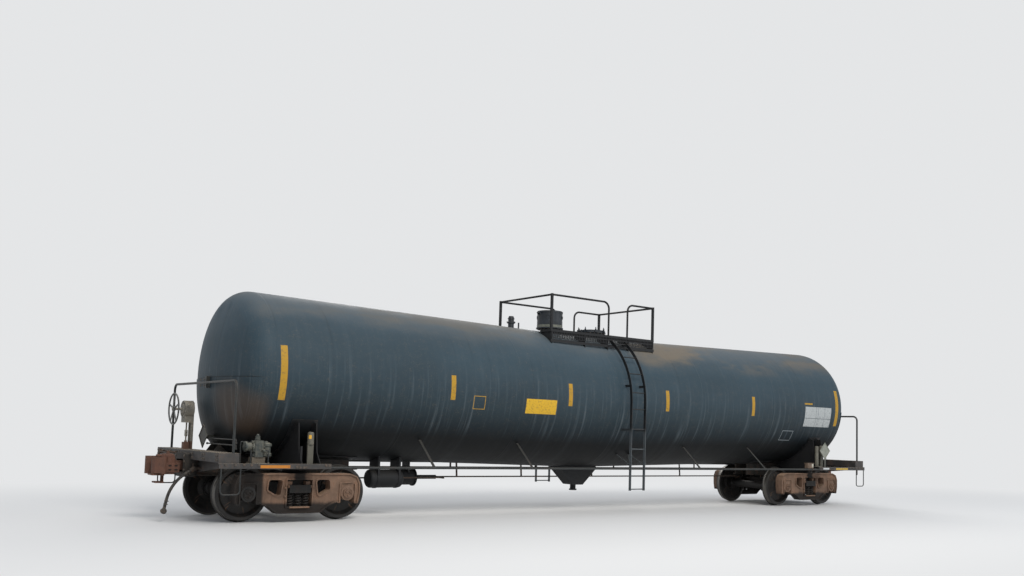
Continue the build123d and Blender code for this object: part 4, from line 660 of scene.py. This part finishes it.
def loop(shape, radius, wire, where, segments=32, stretch=1.0):  # a closed ring of round bar
    ring = bmesh.ops.create_circle(
        shape, cap_ends=False, segments=8, radius=wire,
        matrix=Matrix.Translation((radius, 0, 0)) @ Matrix.Rotation(math.pi / 2, 4, "X"),
    )
    edges = list({e for v in ring["verts"] for e in v.link_edges})
    before = set(shape.verts) - set(ring["verts"])
    bmesh.ops.spin(
        shape, geom=ring["verts"] + edges, cent=(0, 0, 0), axis=(0, 0, 1),
        angle=2 * math.pi, steps=segments, use_merge=True,
    )
    made = [v for v in shape.verts if v not in before]
    bmesh.ops.transform(shape, matrix=where @ Matrix.Diagonal((stretch, 1, 1, 1)), verts=made)


def makePiece(name, shape, body, finish, sharp=35, standsFor=()):
    bmesh.ops.recalc_face_normals(shape, faces=shape.faces)
    mesh = bpy.data.meshes.new(name)
    shape.to_mesh(mesh)
    shape.free()
    for face in mesh.polygons:
        face.use_smooth = True
    mesh.set_sharp_from_angle(angle=math.radians(sharp))
    mesh.materials.append(finishes[finish])
    piece = addObject(name, mesh)
    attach(piece, body)
    if standsFor:
        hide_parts(*standsFor)
    return piece


def makeRods(name, runs, radius, body, finish):
    piece = addObject(name, curveData(name, runs, radius, 6))
    piece.data.materials.append(finishes[finish])
    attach(piece, body)
    return piece


def rounded(run, bend):  # keeps a rod's runs straight up to short bends
    points = [Vector(p) for p in run]
    out = [points[0]]
    for before, corner, after in zip(points, points[1:], points[2:]):
        out.append(corner + (before - corner).normalized() * bend)
        out.append(corner)
        out.append(corner + (after - corner).normalized() * bend)
    return out + [points[-1]]


# hose ends: clamps on the rubber, and the lip and lug of each coupling
hoseEnd = {"band": 0.0275, "bandWidth": 0.018, "shell": 0.046, "lip": 0.030}
for end, side in endSides.items():
    line = hoseLines[end]
    shape = bmesh.new()
    for index in (3, 7, len(line) - 8, len(line) - 4):
        along = (line[index + 1] - line[index - 1]).normalized()
        drum(shape, hoseEnd["band"], hoseEnd["bandWidth"], aim(line[index], along), 28, 0.002)
        lug = line[index] + along.cross(Vector((0, 1, 0))).normalized() * 0.031
        block(shape, (0.016, 0.022, 0.014), aim(lug, along), 0.002)
        bolt(shape, lug + Vector((0, -0.011, 0)), (0, -1, 0), 0.01, 0.008)
    clamps = makePiece("hoseClamps_" + end, shape, "car", "boltSteel")
    low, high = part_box("glad_hand_" + end)
    shape = bmesh.new()
    reach = side * 0.034
    centre = Vector(((low.x + high.x) / 2, (low.y + high.y) / 2, low.z + hoseEnd["shell"]))
    for face in (-1, 1):
        at = centre + Vector((0, face * (high.y - low.y) / 2, 0))
        loop(shape, hoseEnd["lip"], 0.005, aim(at, (0, face, 0)), 28)
        drum(shape, 0.012, 0.008, aim(at, (0, face, 0)), 16, 0.002)
    block(shape, (0.03, 0.05, 0.03), aim(centre + Vector((reach, 0, 0.01))), 0.006)
    coupling = makePiece("hoseCoupling_" + end, shape, "car", "boltSteel")
print("hose ends made")

# truck springs: an outer and an inner coil at each place, between two thin cups
springSet = {
    "places": (-0.144, 0.0, 0.144), "across": 1.0035, "low": 0.27, "high": 0.495,
    "coils": ((0.0525, 0.0135, 4.6, 1), (0.029, 0.0085, 7.0, -1)),  # radius, wire, turns, hand
    "cup": 0.064, "cupDepth": 0.006,
}


def coil(shape, x, y, radius, wire, turns, hand, low, high):
    start = bmesh.ops.create_circle(
        shape, cap_ends=False, segments=8, radius=wire,
        matrix=aim((x + radius, y, low + wire)) @ Matrix.Rotation(math.pi / 2, 4, "X"),
    )
    edges = list({e for v in start["verts"] for e in v.link_edges})
    steps = round(turns * 16)
    made = bmesh.ops.spin(
        shape, geom=start["verts"] + edges, cent=(x, y, 0), axis=(0, 0, hand),
        dvec=(0, 0, (high - low - 2 * wire) / steps), angle=2 * math.pi * turns, steps=steps,
    )
    lastEdges = [g for g in made["geom_last"] if isinstance(g, bmesh.types.BMEdge)]
    bmesh.ops.holes_fill(shape, edges=edges + lastEdges, sides=0)


for end, side in endSides.items():
    look = springSet
    shape = bmesh.new()
    for reach in look["places"]:
        for hand in (-1, 1):
            x = side * truckCentre + reach
            y = hand * look["across"]
            for kind in look["coils"]:
                coil(shape, x, y, *kind, look["low"], look["high"])
            for height in (look["low"] + look["cupDepth"] / 2, look["high"] - look["cupDepth"] / 2):
                drum(shape, look["cup"], look["cupDepth"], aim((x, y, height)), 24, 0.002)
    makePiece(
        "truckCoils_" + end, shape, "truck_" + end, "springSteel",
        40, ["truck_" + end + "_springs"],
    )
print("truck springs made")

# roller bearing end caps: three cap screws held by a locking plate
bearingCap = {"face": 1.1235, "plate": 0.066, "screws": (0.040, 3, 0.5, 0.03, 0.022)}
for end, side in endSides.items():
    for place, reach in (("outer", side), ("inner", -side)):
        x = side * truckCentre + reach * wheelLook["halfBase"]
        shape = bmesh.new()
        for hand in (-1, 1):
            face = Vector((x, hand * bearingCap["face"], wheelLook["axleHeight"]))
            out = Vector((0, hand, 0))
            loop(shape, 0.074, 0.006, aim(face + out * 0.001, out), 36)
            drum(shape, bearingCap["plate"], 0.006, aim(face + out * 0.003, out, 0.3), 3, 0.001)
            boltRing(shape, face + out * 0.004, out, *bearingCap["screws"])
            drum(shape, 0.011, 0.012, aim(face + out * 0.008, out), 12, 0.002)
        makePiece(
            "bearingCaps_" + end + "_" + place, shape, "axle_" + end + "_" + place,
            "truckCasting",
        )
print("bearing caps made")

# side frames: the ledge the springs stand on, wear plates and wedges beside them, a rib over
# each journal, and the bolster's deeper part, seen through the windows
frameTrim = {
    "face": 1.0985, "ledge": (0.36, 0.05, 0.028), "ledgeHeight": 0.256,
    "plate": (0.10, 0.035, 0.045), "plateHeight": 0.60, "plateReach": 0.162,
    "wedge": (0.09, 0.13, 0.17), "wedgeY": 1.0, "deeper": (0.36, 0.05, 0.14), "deeperY": 0.93,
    "boltReach": 0.262, "rib": (0.17, 0.014, 0.022), "ribHeight": 0.662,
}
for end, side in endSides.items():
    look = frameTrim
    centre = side * truckCentre
    shape = bmesh.new()
    for hand in (-1, 1):
        out = hand * look["face"]
        block(shape, look["ledge"], aim((centre, out, look["ledgeHeight"])), 0.008)
        for reach in (-1, 1):
            x = centre + reach * look["plateReach"]
            block(shape, look["plate"], aim((x, out - hand * 0.004, look["plateHeight"])), 0.008)
            wedgeAt = (x, hand * look["wedgeY"], look["plateHeight"])
            block(shape, look["wedge"], aim(wedgeAt, (0, 0, -1)), 0.01, 0.6)
            for drop in (0.02, 0.16):
                at = (centre + reach * look["boltReach"], out, look["plateHeight"] - drop)
                bolt(shape, at, (0, hand, 0), 0.026, 0.014)
            ribAt = (centre + reach * wheelLook["halfBase"], out + hand * 0.004, look["ribHeight"])
            block(shape, look["rib"], aim(ribAt), 0.006, 0.9)
    makePiece("frameTrim_" + end, shape, "truck_" + end, "trimCasting")
    shape = bmesh.new()
    for hand in (-1, 1):
        at = (centre, hand * look["deeperY"], look["plateHeight"] + 0.045)
        block(shape, look["deeper"], aim(at), 0.02)
    makePiece("bolsterEnds_" + end, shape, "truck_" + end, "truckDark")
print("side frames trimmed")

# coupler: a cheek each side of the shank with cored slots, the lock's hump, and two shelves
couplerHead = {
    "face": 8.99, "height": 0.901, "half": 0.145,
    "cheek": {"from": 8.645, "to": 8.87, "low": 0.785, "high": 0.945, "out": 0.182},
    "slots": ((0.060, 0.112), (0.060, 0.045), (0.160, 0.112), (0.160, 0.045)),
    "slotRadius": 0.019, "slotStretch": 1.8,
}
for end, side in endSides.items():
    look = couplerHead
    cheek = look["cheek"]
    top = look["height"] + look["half"]
    face = side * look["face"]
    shape = bmesh.new()
    hump = Vector((face - side * 0.19, side * 0.02, top + 0.02))
    block(shape, (0.20, 0.17, 0.05), aim(hump), 0.014, 0.8)
    block(shape, (0.10, 0.12, 0.04), aim((face - side * 0.05, side * 0.03, top + 0.012)), 0.012, 0.85)
    drum(shape, 0.034, 0.05, aim(hump + Vector((0, 0, 0.03))), 20, 0.008, 0.024)
    length = cheek["to"] - cheek["from"]
    middle = side * (cheek["to"] + cheek["from"]) / 2
    tall = cheek["high"] - cheek["low"]
    block(
        shape, (length, cheek["out"] * 2, tall),
        aim((middle, 0, (cheek["high"] + cheek["low"]) / 2)), 0.012,
    )
    for hand in (-1, 1):
        for depth, height in ((0.018, cheek["high"] - 0.012), (0.014, cheek["low"] + 0.010)):
            block(shape, (length, 0.012, depth), aim((middle, hand * cheek["out"], height)), 0.005)
    block(
        shape, (0.13, 0.17, 0.09),
        aim((side * (cheek["from"] + 0.085), 0, cheek["high"] + 0.035)), 0.014, 0.72,
    )
    block(shape, (0.16, 0.26, 0.03), aim((face, 0, 0.75)), 0.01)
    block(shape, (0.045, 0.06, 0.17), aim((side * 8.87, 0, 0.71)), 0.01)
    block(shape, (0.15, 0.20, 0.026), aim((side * 8.93, 0, 0.622)), 0.011)
    body = "coupler_swing_" + end
    makePiece("couplerShelves_" + end, shape, body, "couplerIron")
    frames = bmesh.new()
    voids = bmesh.new()
    for reach, lift in look["slots"]:
        for hand in (-1, 1):
            at = Vector((side * (cheek["from"] + reach), hand * cheek["out"], cheek["low"] + lift))
            wide = Matrix.Diagonal((look["slotStretch"], 1, 1, 1))
            spot = aim(at + Vector((0, hand * 0.001, 0)), (0, hand, 0))
            loop(frames, look["slotRadius"], 0.004, spot, 20, look["slotStretch"])
            drum(voids, look["slotRadius"], 0.003, spot @ wide, 20)
    makePiece("couplerSlotRims_" + end, frames, body, "couplerIron")
    makePiece("couplerSlots_" + end, voids, body, "slotShadow")
print("couplers dressed")

# hand brake: cover with its rim, ribs and screws, the release handle, and the clevis on the rod
brakeCase = {
    "centre": Vector((-8.388, 0.6, 1.84)), "screws": (0.122, 8, 0.3, 0.018, 0.012), "ribs": 0.108,
    "rings": ((0.138, 0.010, 48), (0.098, 0.007, 36)), "handleLine": (0, -0.5, 0.87),
    "rodX": -8.32, "clevisPins": (1.455, 1.405), "bracketX": -8.238, "bracketBolts": (1.32, 1.70, 1.98),
}
shape = bmesh.new()
look = brakeCase
centre = look["centre"]
out = Vector((-1, 0, 0))
for radius, wire, steps in look["rings"]:
    loop(shape, radius, wire, aim(centre + out * 0.001, out), steps)
boltRing(shape, centre, out, *look["screws"])
for turn in (1, 3, 5, 7):
    angle = turn * math.pi / 4 + 0.3
    spot = Vector((0, math.cos(angle), math.sin(angle))) * look["ribs"]
    lying = Matrix.Rotation(angle, 4, "X") @ aim((0, 0, 0), (1, 0, 0))
    block(shape, (0.030, 0.008, 0.010), aim(centre + spot) @ lying, 0.002)
block(shape, (0.03, 0.10, 0.06), aim((-8.37, centre.y, 1.665)), 0.008)
drum(shape, 0.012, 0.26, aim((-8.36, 0.47, 1.80), look["handleLine"]), 14, 0.003)
drum(shape, 0.022, 0.03, aim((-8.36, 0.405, 1.913), look["handleLine"]), 16, 0.006)
block(shape, (0.045, 0.05, 0.11), aim((look["rodX"], centre.y, 1.43)), 0.008)
for z in look["clevisPins"]:
    drum(shape, 0.011, 0.10, aim((look["rodX"], centre.y, z), (0, 1, 0)), 12, 0.003)
drum(shape, 0.024, 0.04, aim((look["rodX"], centre.y, 1.285)), 16, 0.005)
for y, z in itertools.product((-0.035, 0.035), look["bracketBolts"]):
    bolt(shape, (look["bracketX"], centre.y + y, z), out, 0.02, 0.012)
makePiece("brakeCaseFittings", shape, "car", "brakeGearGrey")

# control valve: flange bolts, small domes and the thin pipes round it
valveBody = {
    "flanges": (  # centre, axis, and the ring of bolts on it
        ((-7.861, -1.25, 1.254), (-1, 0, 0), 0.079, 6, 0.0, 0.016, 0.012),
        ((-7.975, -1.25, 1.254), (-1, 0, 0), 0.067, 6, 0.0, 0.014, 0.010),
        ((-7.615, -1.25, 1.301), (0, 0, 1), 0.083, 6, 0.0, 0.016, 0.012),
    ),
    "domes": (  # place, radius, depth, segments, rounding, radius at the top
        ((-7.615, -1.25, 1.335), 0.03, 0.03, 20, 0.01, 0.02),
        ((-7.76, -1.25, 1.375), 0.046, 0.02, 24, 0.004, None),
        ((-7.76, -1.25, 1.446), 0.028, 0.03, 20, 0.01, 0.018),
    ),
    "faceBolts": ((-7.845, -7.675), (1.12, 1.19, 1.26, 1.33)),
    "footBolts": ((-7.85, -7.67), (-1.10, -1.51)),
}
shape = bmesh.new()
for x, z in itertools.product(*valveBody["faceBolts"]):
    bolt(shape, (x, -1.325, z), (0, -1, 0), 0.018, 0.012)
for flange in valveBody["flanges"]:
    boltRing(shape, *flange)
for at, radius, depth, segments, softness, top in valveBody["domes"]:
    drum(shape, radius, depth, aim(at), segments, softness, top)
block(shape, (0.06, 0.05, 0.05), aim((-7.70, -1.335, 1.20)), 0.012)
drum(shape, 0.02, 0.05, aim((-7.70, -1.375, 1.20), (0, -1, 0)), 18, 0.006)
for x, y in itertools.product(*valveBody["footBolts"]):
    bolt(shape, (x, y, 1.0), (0, 0, 1), 0.026, 0.016)
makePiece("valveFittings", shape, "car", "valveGrey")
pipeRuns = [
    [(-7.90, -1.34, 1.20), (-7.90, -1.34, 0.90), (-7.90, -1.10, 0.86), (-7.90, -0.33, 0.865)],
    [(-7.70, -1.375, 1.20), (-7.62, -1.375, 1.20), (-7.62, -1.375, 0.92), (-7.30, -1.20, 0.88)],
    [(-7.76, -1.17, 1.12), (-7.76, -1.08, 1.12), (-7.76, -1.08, 0.90), (-7.40, -1.0, 0.88)],
    [(-7.90, -1.20, 1.33), (-8.02, -1.20, 1.33), (-8.02, -1.20, 1.00), (-8.02, -1.05, 0.90)],
]
makeRods(
    "valvePipes", [rounded(run, 0.03) for run in pipeRuns], 0.011,
    "car", "railGrey",
)
# two thin pipes across the b end, on clips off an upright bar
endPipe = {"x": -8.15, "y": -1.33, "heights": (1.36, 1.272), "clips": (-1.30, -0.30), "nut": 0.019}
look = endPipe
x, y = look["x"], look["y"]
endRuns = [[(x, y, z - 0.06), (x, y, z), (x, 0.02, z), (-8.085, 0.02, z)] for z in look["heights"]]
makeRods(
    "endPipes", [rounded(run, 0.03) for run in endRuns], 0.0105,
    "car", "railGrey",
)
shape = bmesh.new()
block(shape, (0.03, 0.04, 0.24), aim((-8.175, -1.30, 1.26)), 0.004)
for z in look["heights"]:
    for clip in look["clips"]:
        loop(shape, 0.014, 0.005, aim((x, clip, z), (0, 1, 0)), 16)
    drum(shape, look["nut"], 0.03, aim((x, -0.012, z), (0, 1, 0)), 6)
    drum(shape, look["nut"], 0.03, aim((x, y, z - 0.05), (0, 0, 1)), 6)
makePiece("endPipeClips", shape, "car", "railGrey")
print("brake fittings made")

# bolts that hold the bigger parts, in rows: x, y, z, size across, height
boltRows = {
    "ends": (  # facing the ends of the car
        ((8.50,), (0.34, 0.82, 0.9, 1.44, 1.50), (1.045, 1.115), 0.034, 0.016),
        ((8.59,), (0.215,), (0.75, 0.83, 0.97, 1.06), 0.036, 0.014),
        ((8.283,), (0.085,), (2.245, 2.345), 0.024, 0.014),
    ),
    "sides": (
        ((6.64, 6.70, 7.86, 7.98, 8.10, 8.24, 8.40), (1.598,), (0.975,), 0.030, 0.012),
        ((7.04, 7.09, 7.16, 7.21), (1.598,), (0.94,), 0.034, 0.012),
    ),
}
shape = bmesh.new()
for facing, rows in boltRows.items():
    for *places, across, tall in rows:
        for side, hand, x, y, z in itertools.product((-1, 1), (-1, 1), *places):
            axis = (side, 0, 0) if facing == "ends" else (0, hand, 0)
            bolt(shape, (side * x, hand * y, z), axis, across, tall)
makePiece("frameBolts", shape, "car", "boltSteel")

# nuts under the valve housing and the manway, and on the relief valve's flange
housingX = -0.775
topRings = (  # centre, axis, and the ring of nuts
    ((housingX, 0, 3.87), (0, 0, -1), 0.25, 20, 0.15, 0.026, 0.02),
    ((0.43, 0, 3.879), (0, 0, -1), 0.283, 20, 0.15, 0.024, 0.018),
    ((-1.82, 0, 3.927), (0, 0, 1), 0.085, 8, math.pi / 8, 0.018, 0.014),
)
shape = bmesh.new()
for ring in topRings:
    boltRing(shape, *ring)
makePiece("topNuts", shape, "car", "boltSteel")

# the hoop round the valve housing, and four rings to lift it by
housingHoop = {"radius": 0.279, "low": 3.896, "depth": 0.055, "thickness": 0.004}
look = housingHoop
shape = bmesh.new()
hoop = bmesh.ops.create_circle(
    shape, cap_ends=False, segments=72, radius=look["radius"], matrix=aim((housingX, 0, look["low"]))
)
edges = list({e for v in hoop["verts"] for e in v.link_edges})
rim = bmesh.ops.extrude_edge_only(shape, edges=edges)
lifted = [g for g in rim["geom"] if isinstance(g, bmesh.types.BMVert)]
bmesh.ops.translate(shape, verts=lifted, vec=(0, 0, look["depth"]))
bmesh.ops.solidify(shape, geom=list(shape.faces), thickness=look["thickness"])
makePiece("housingHoop", shape, "car", "bandGrey", 40)
shape = bmesh.new()
for turn in (0.9, 2.4, 3.9, 5.4):
    spot = Vector((math.cos(turn), math.sin(turn), 0))
    loop(shape, 0.035, 0.006, aim(Vector((housingX, 0, 4.12)) + spot * 0.276, spot), 20, 1.3)
makePiece("housingRings", shape, "car", "topBlack")
print("top fittings made")

# caps that bring the uprights on the bolster tips to their full height
uprightCap = {"y": 1.423, "radius": 0.0545, "low": 1.30, "high": 1.52}
look = uprightCap
shape = bmesh.new()
for side, hand in itertools.product((-1, 1), (-1, 1)):
    at = (side * truckCentre, hand * look["y"], (look["low"] + look["high"]) / 2)
    drum(shape, look["radius"], look["high"] - look["low"], aim(at), 28, 0.03)
# one more upright at each end, past its bolster, and a small box clipped to the handrail
extraUpright = {"x": 6.655, "y": -1.475, "radius": 0.045, "length": 0.52, "middle": 1.25}
look = extraUpright
for side in (-1, 1):
    x = side * look["x"]
    drum(shape, look["radius"], look["length"], aim((x, side * look["y"], look["middle"])), 24, 0.025)
    block(shape, (0.15, 0.11, 0.012), aim((x, side * -1.52, 1.003)), 0.004)
    for reach in (-0.055, 0.055):
        bolt(shape, (x + reach, side * -1.545, 1.009), (0, 0, 1), 0.022, 0.012)
makePiece("uprightCaps", shape, "car", "capGrey")
shape = bmesh.new()
railBox = {"x": 6.27, "y": -1.535}
for side in (-1, 1):
    x, y = side * railBox["x"], side * railBox["y"]
    block(shape, (0.23, 0.10, 0.125), aim((x, y, 1.024)), 0.012)
    block(shape, (0.25, 0.12, 0.012), aim((x, y, 1.086)), 0.004)
    for reach in (-0.08, 0.08):
        loop(shape, 0.0255, 0.005, aim((x + reach, side * -1.575, 0.937), (1, 0, 0)), 20)
        bolt(shape, (x + reach, side * -1.585, 1.02), (0, -side, 0), 0.02, 0.01)
makePiece("railBoxes", shape, "car", "boxTan")


def grating(shape, counts, where, bar):  # a flat net of bars with open cells
    before = set(shape.faces)
    bmesh.ops.create_grid(shape, x_segments=counts[0], y_segments=counts[1], size=0.5, matrix=where)
    cells = [face for face in shape.faces if face not in before]
    bmesh.ops.inset_individual(shape, faces=cells, thickness=bar, use_even_offset=True)
    bmesh.ops.delete(shape, geom=cells, context="FACES")


# gratings that hang from the platform's long edges down to its lower angles
platformSkirt = {
    "half": 1.47, "y": 0.918, "low": 3.575, "high": 3.745,
    "cell": 0.045, "bar": 0.010, "thickness": 0.006,
}
look = platformSkirt
shape = bmesh.new()
for hand in (-1, 1):
    turn = Matrix.Rotation(math.pi / 2, 4, "X")
    place = Matrix.Translation((0, hand * look["y"], (look["low"] + look["high"]) / 2)) @ turn
    size = (look["half"] * 2, look["high"] - look["low"])
    where = place @ Matrix.Diagonal((*size, 1, 1))
    grating(shape, (round(size[0] / look["cell"]), 2), where, look["bar"])
bmesh.ops.solidify(shape, geom=list(shape.faces), thickness=look["thickness"])
makePiece("platformSkirts", shape, "car", "platformBlack")

# raised tread on each end deck
deckTread = {
    "x": 8.335, "length": 0.285, "width": 3.0, "top": 1.155,
    "cell": 0.05, "bar": 0.008, "thickness": 0.007,
}
look = deckTread
for end, side in endSides.items():
    shape = bmesh.new()
    counts = (round(look["length"] / look["cell"]), round(look["width"] / look["cell"]))
    where = aim((side * look["x"], 0, look["top"] + 0.001))
    size = Matrix.Diagonal((look["length"], look["width"], 1, 1))
    grating(shape, counts, where @ size, look["bar"])
    bmesh.ops.solidify(shape, geom=list(shape.faces), thickness=look["thickness"])
    makePiece("deckTread_" + end, shape, "car", "deckPaint")
print("decks covered")

# floor, light and backdrop
studio = {
    "pale": (0.78, 0.79, 0.80, 1.0),
    "floorTone": (0.70, 0.70, 0.70, 1.0),
    "skyTone": (0.86, 0.92, 1.0, 1.0),
    "skyStrength": 0.6,
    "keyPower": 4000.0,
    "fillPower": 500.0,
    "backPower": 1900.0,
}
floorMesh = bmesh.new()
bmesh.ops.create_circle(floorMesh, cap_ends=True, segments=96, radius=400.0)
floorData = bpy.data.meshes.new("floor")
floorMesh.to_mesh(floorData)
floorMesh.free()
floor = addObject("floor", floorData)
floorFinish = Finish("paleFloor")
squeezed = floorFinish.node(  # the car is long, so the lit floor is too
    "ShaderNodeMapping", None, {"Vector": floorFinish.place, "Scale": (0.45, 1.0, 1.0)}
)
distance = floorFinish.node(
    "ShaderNodeVectorMath", {"operation": "LENGTH"}, {0: squeezed}, "Value"
)
matt = floorFinish.node(
    "ShaderNodeBsdfPrincipled", None, {"Base Color": studio["floorTone"], "Roughness": 0.9}
)
glow = floorFinish.node("ShaderNodeEmission", None, {"Color": studio["pale"]})
blendOut = floorFinish.node(
    "ShaderNodeMixShader", None, {0: distance.step(3.5, 11.5), 1: matt, 2: glow}
)
floorFinish.show("ShaderNodeOutputMaterial", blendOut)
floorData.materials.append(floorFinish.material)

world = bpy.data.worlds.new("studio")
bpy.context.scene.world = world
sky = NodeTree(world)
rayKinds = ("Is Camera Ray", "Is Transmission Ray", "Is Glossy Ray")
seen, through, mirrored = (sky.node("ShaderNodeLightPath", output=kind) for kind in rayKinds)
backdrop = seen.maths("MAXIMUM", through).maths("MAXIMUM", mirrored)
light = {"Color": studio["skyTone"], "Strength": studio["skyStrength"]}
shades = {
    0: backdrop,
    1: sky.node("ShaderNodeBackground", None, light),
    2: sky.node("ShaderNodeBackground", None, {"Color": studio["pale"]}),
}
sky.show("ShaderNodeOutputWorld", sky.node("ShaderNodeMixShader", None, shades))


def addLamp(name, place, target, size, power, colour):
    data = bpy.data.lights.new(name, "AREA")
    data.shape = "RECTANGLE"
    data.size, data.size_y = size
    data.energy = power
    data.color = colour
    lamp = addObject(name, data)
    lamp.location = place
    turn = (Vector(target) - Vector(place)).to_track_quat("-Z", "Y")
    lamp.rotation_euler = turn.to_euler()


addLamp("keyLamp", (-6, -18, 17), (0, 0, 1.5), (15, 9), studio["keyPower"], (1.0, 0.96, 0.9))
addLamp("fillLamp", (12, -16, 7), (2, 0, 2), (12, 8), studio["fillPower"], (0.92, 0.96, 1.0))
addLamp("backLamp", (9, 17, 13), (0, 0, 2), (14, 8), studio["backPower"], (1.0, 0.97, 0.93))
bpy.context.scene.view_settings.view_transform = "Standard"
print("light set")
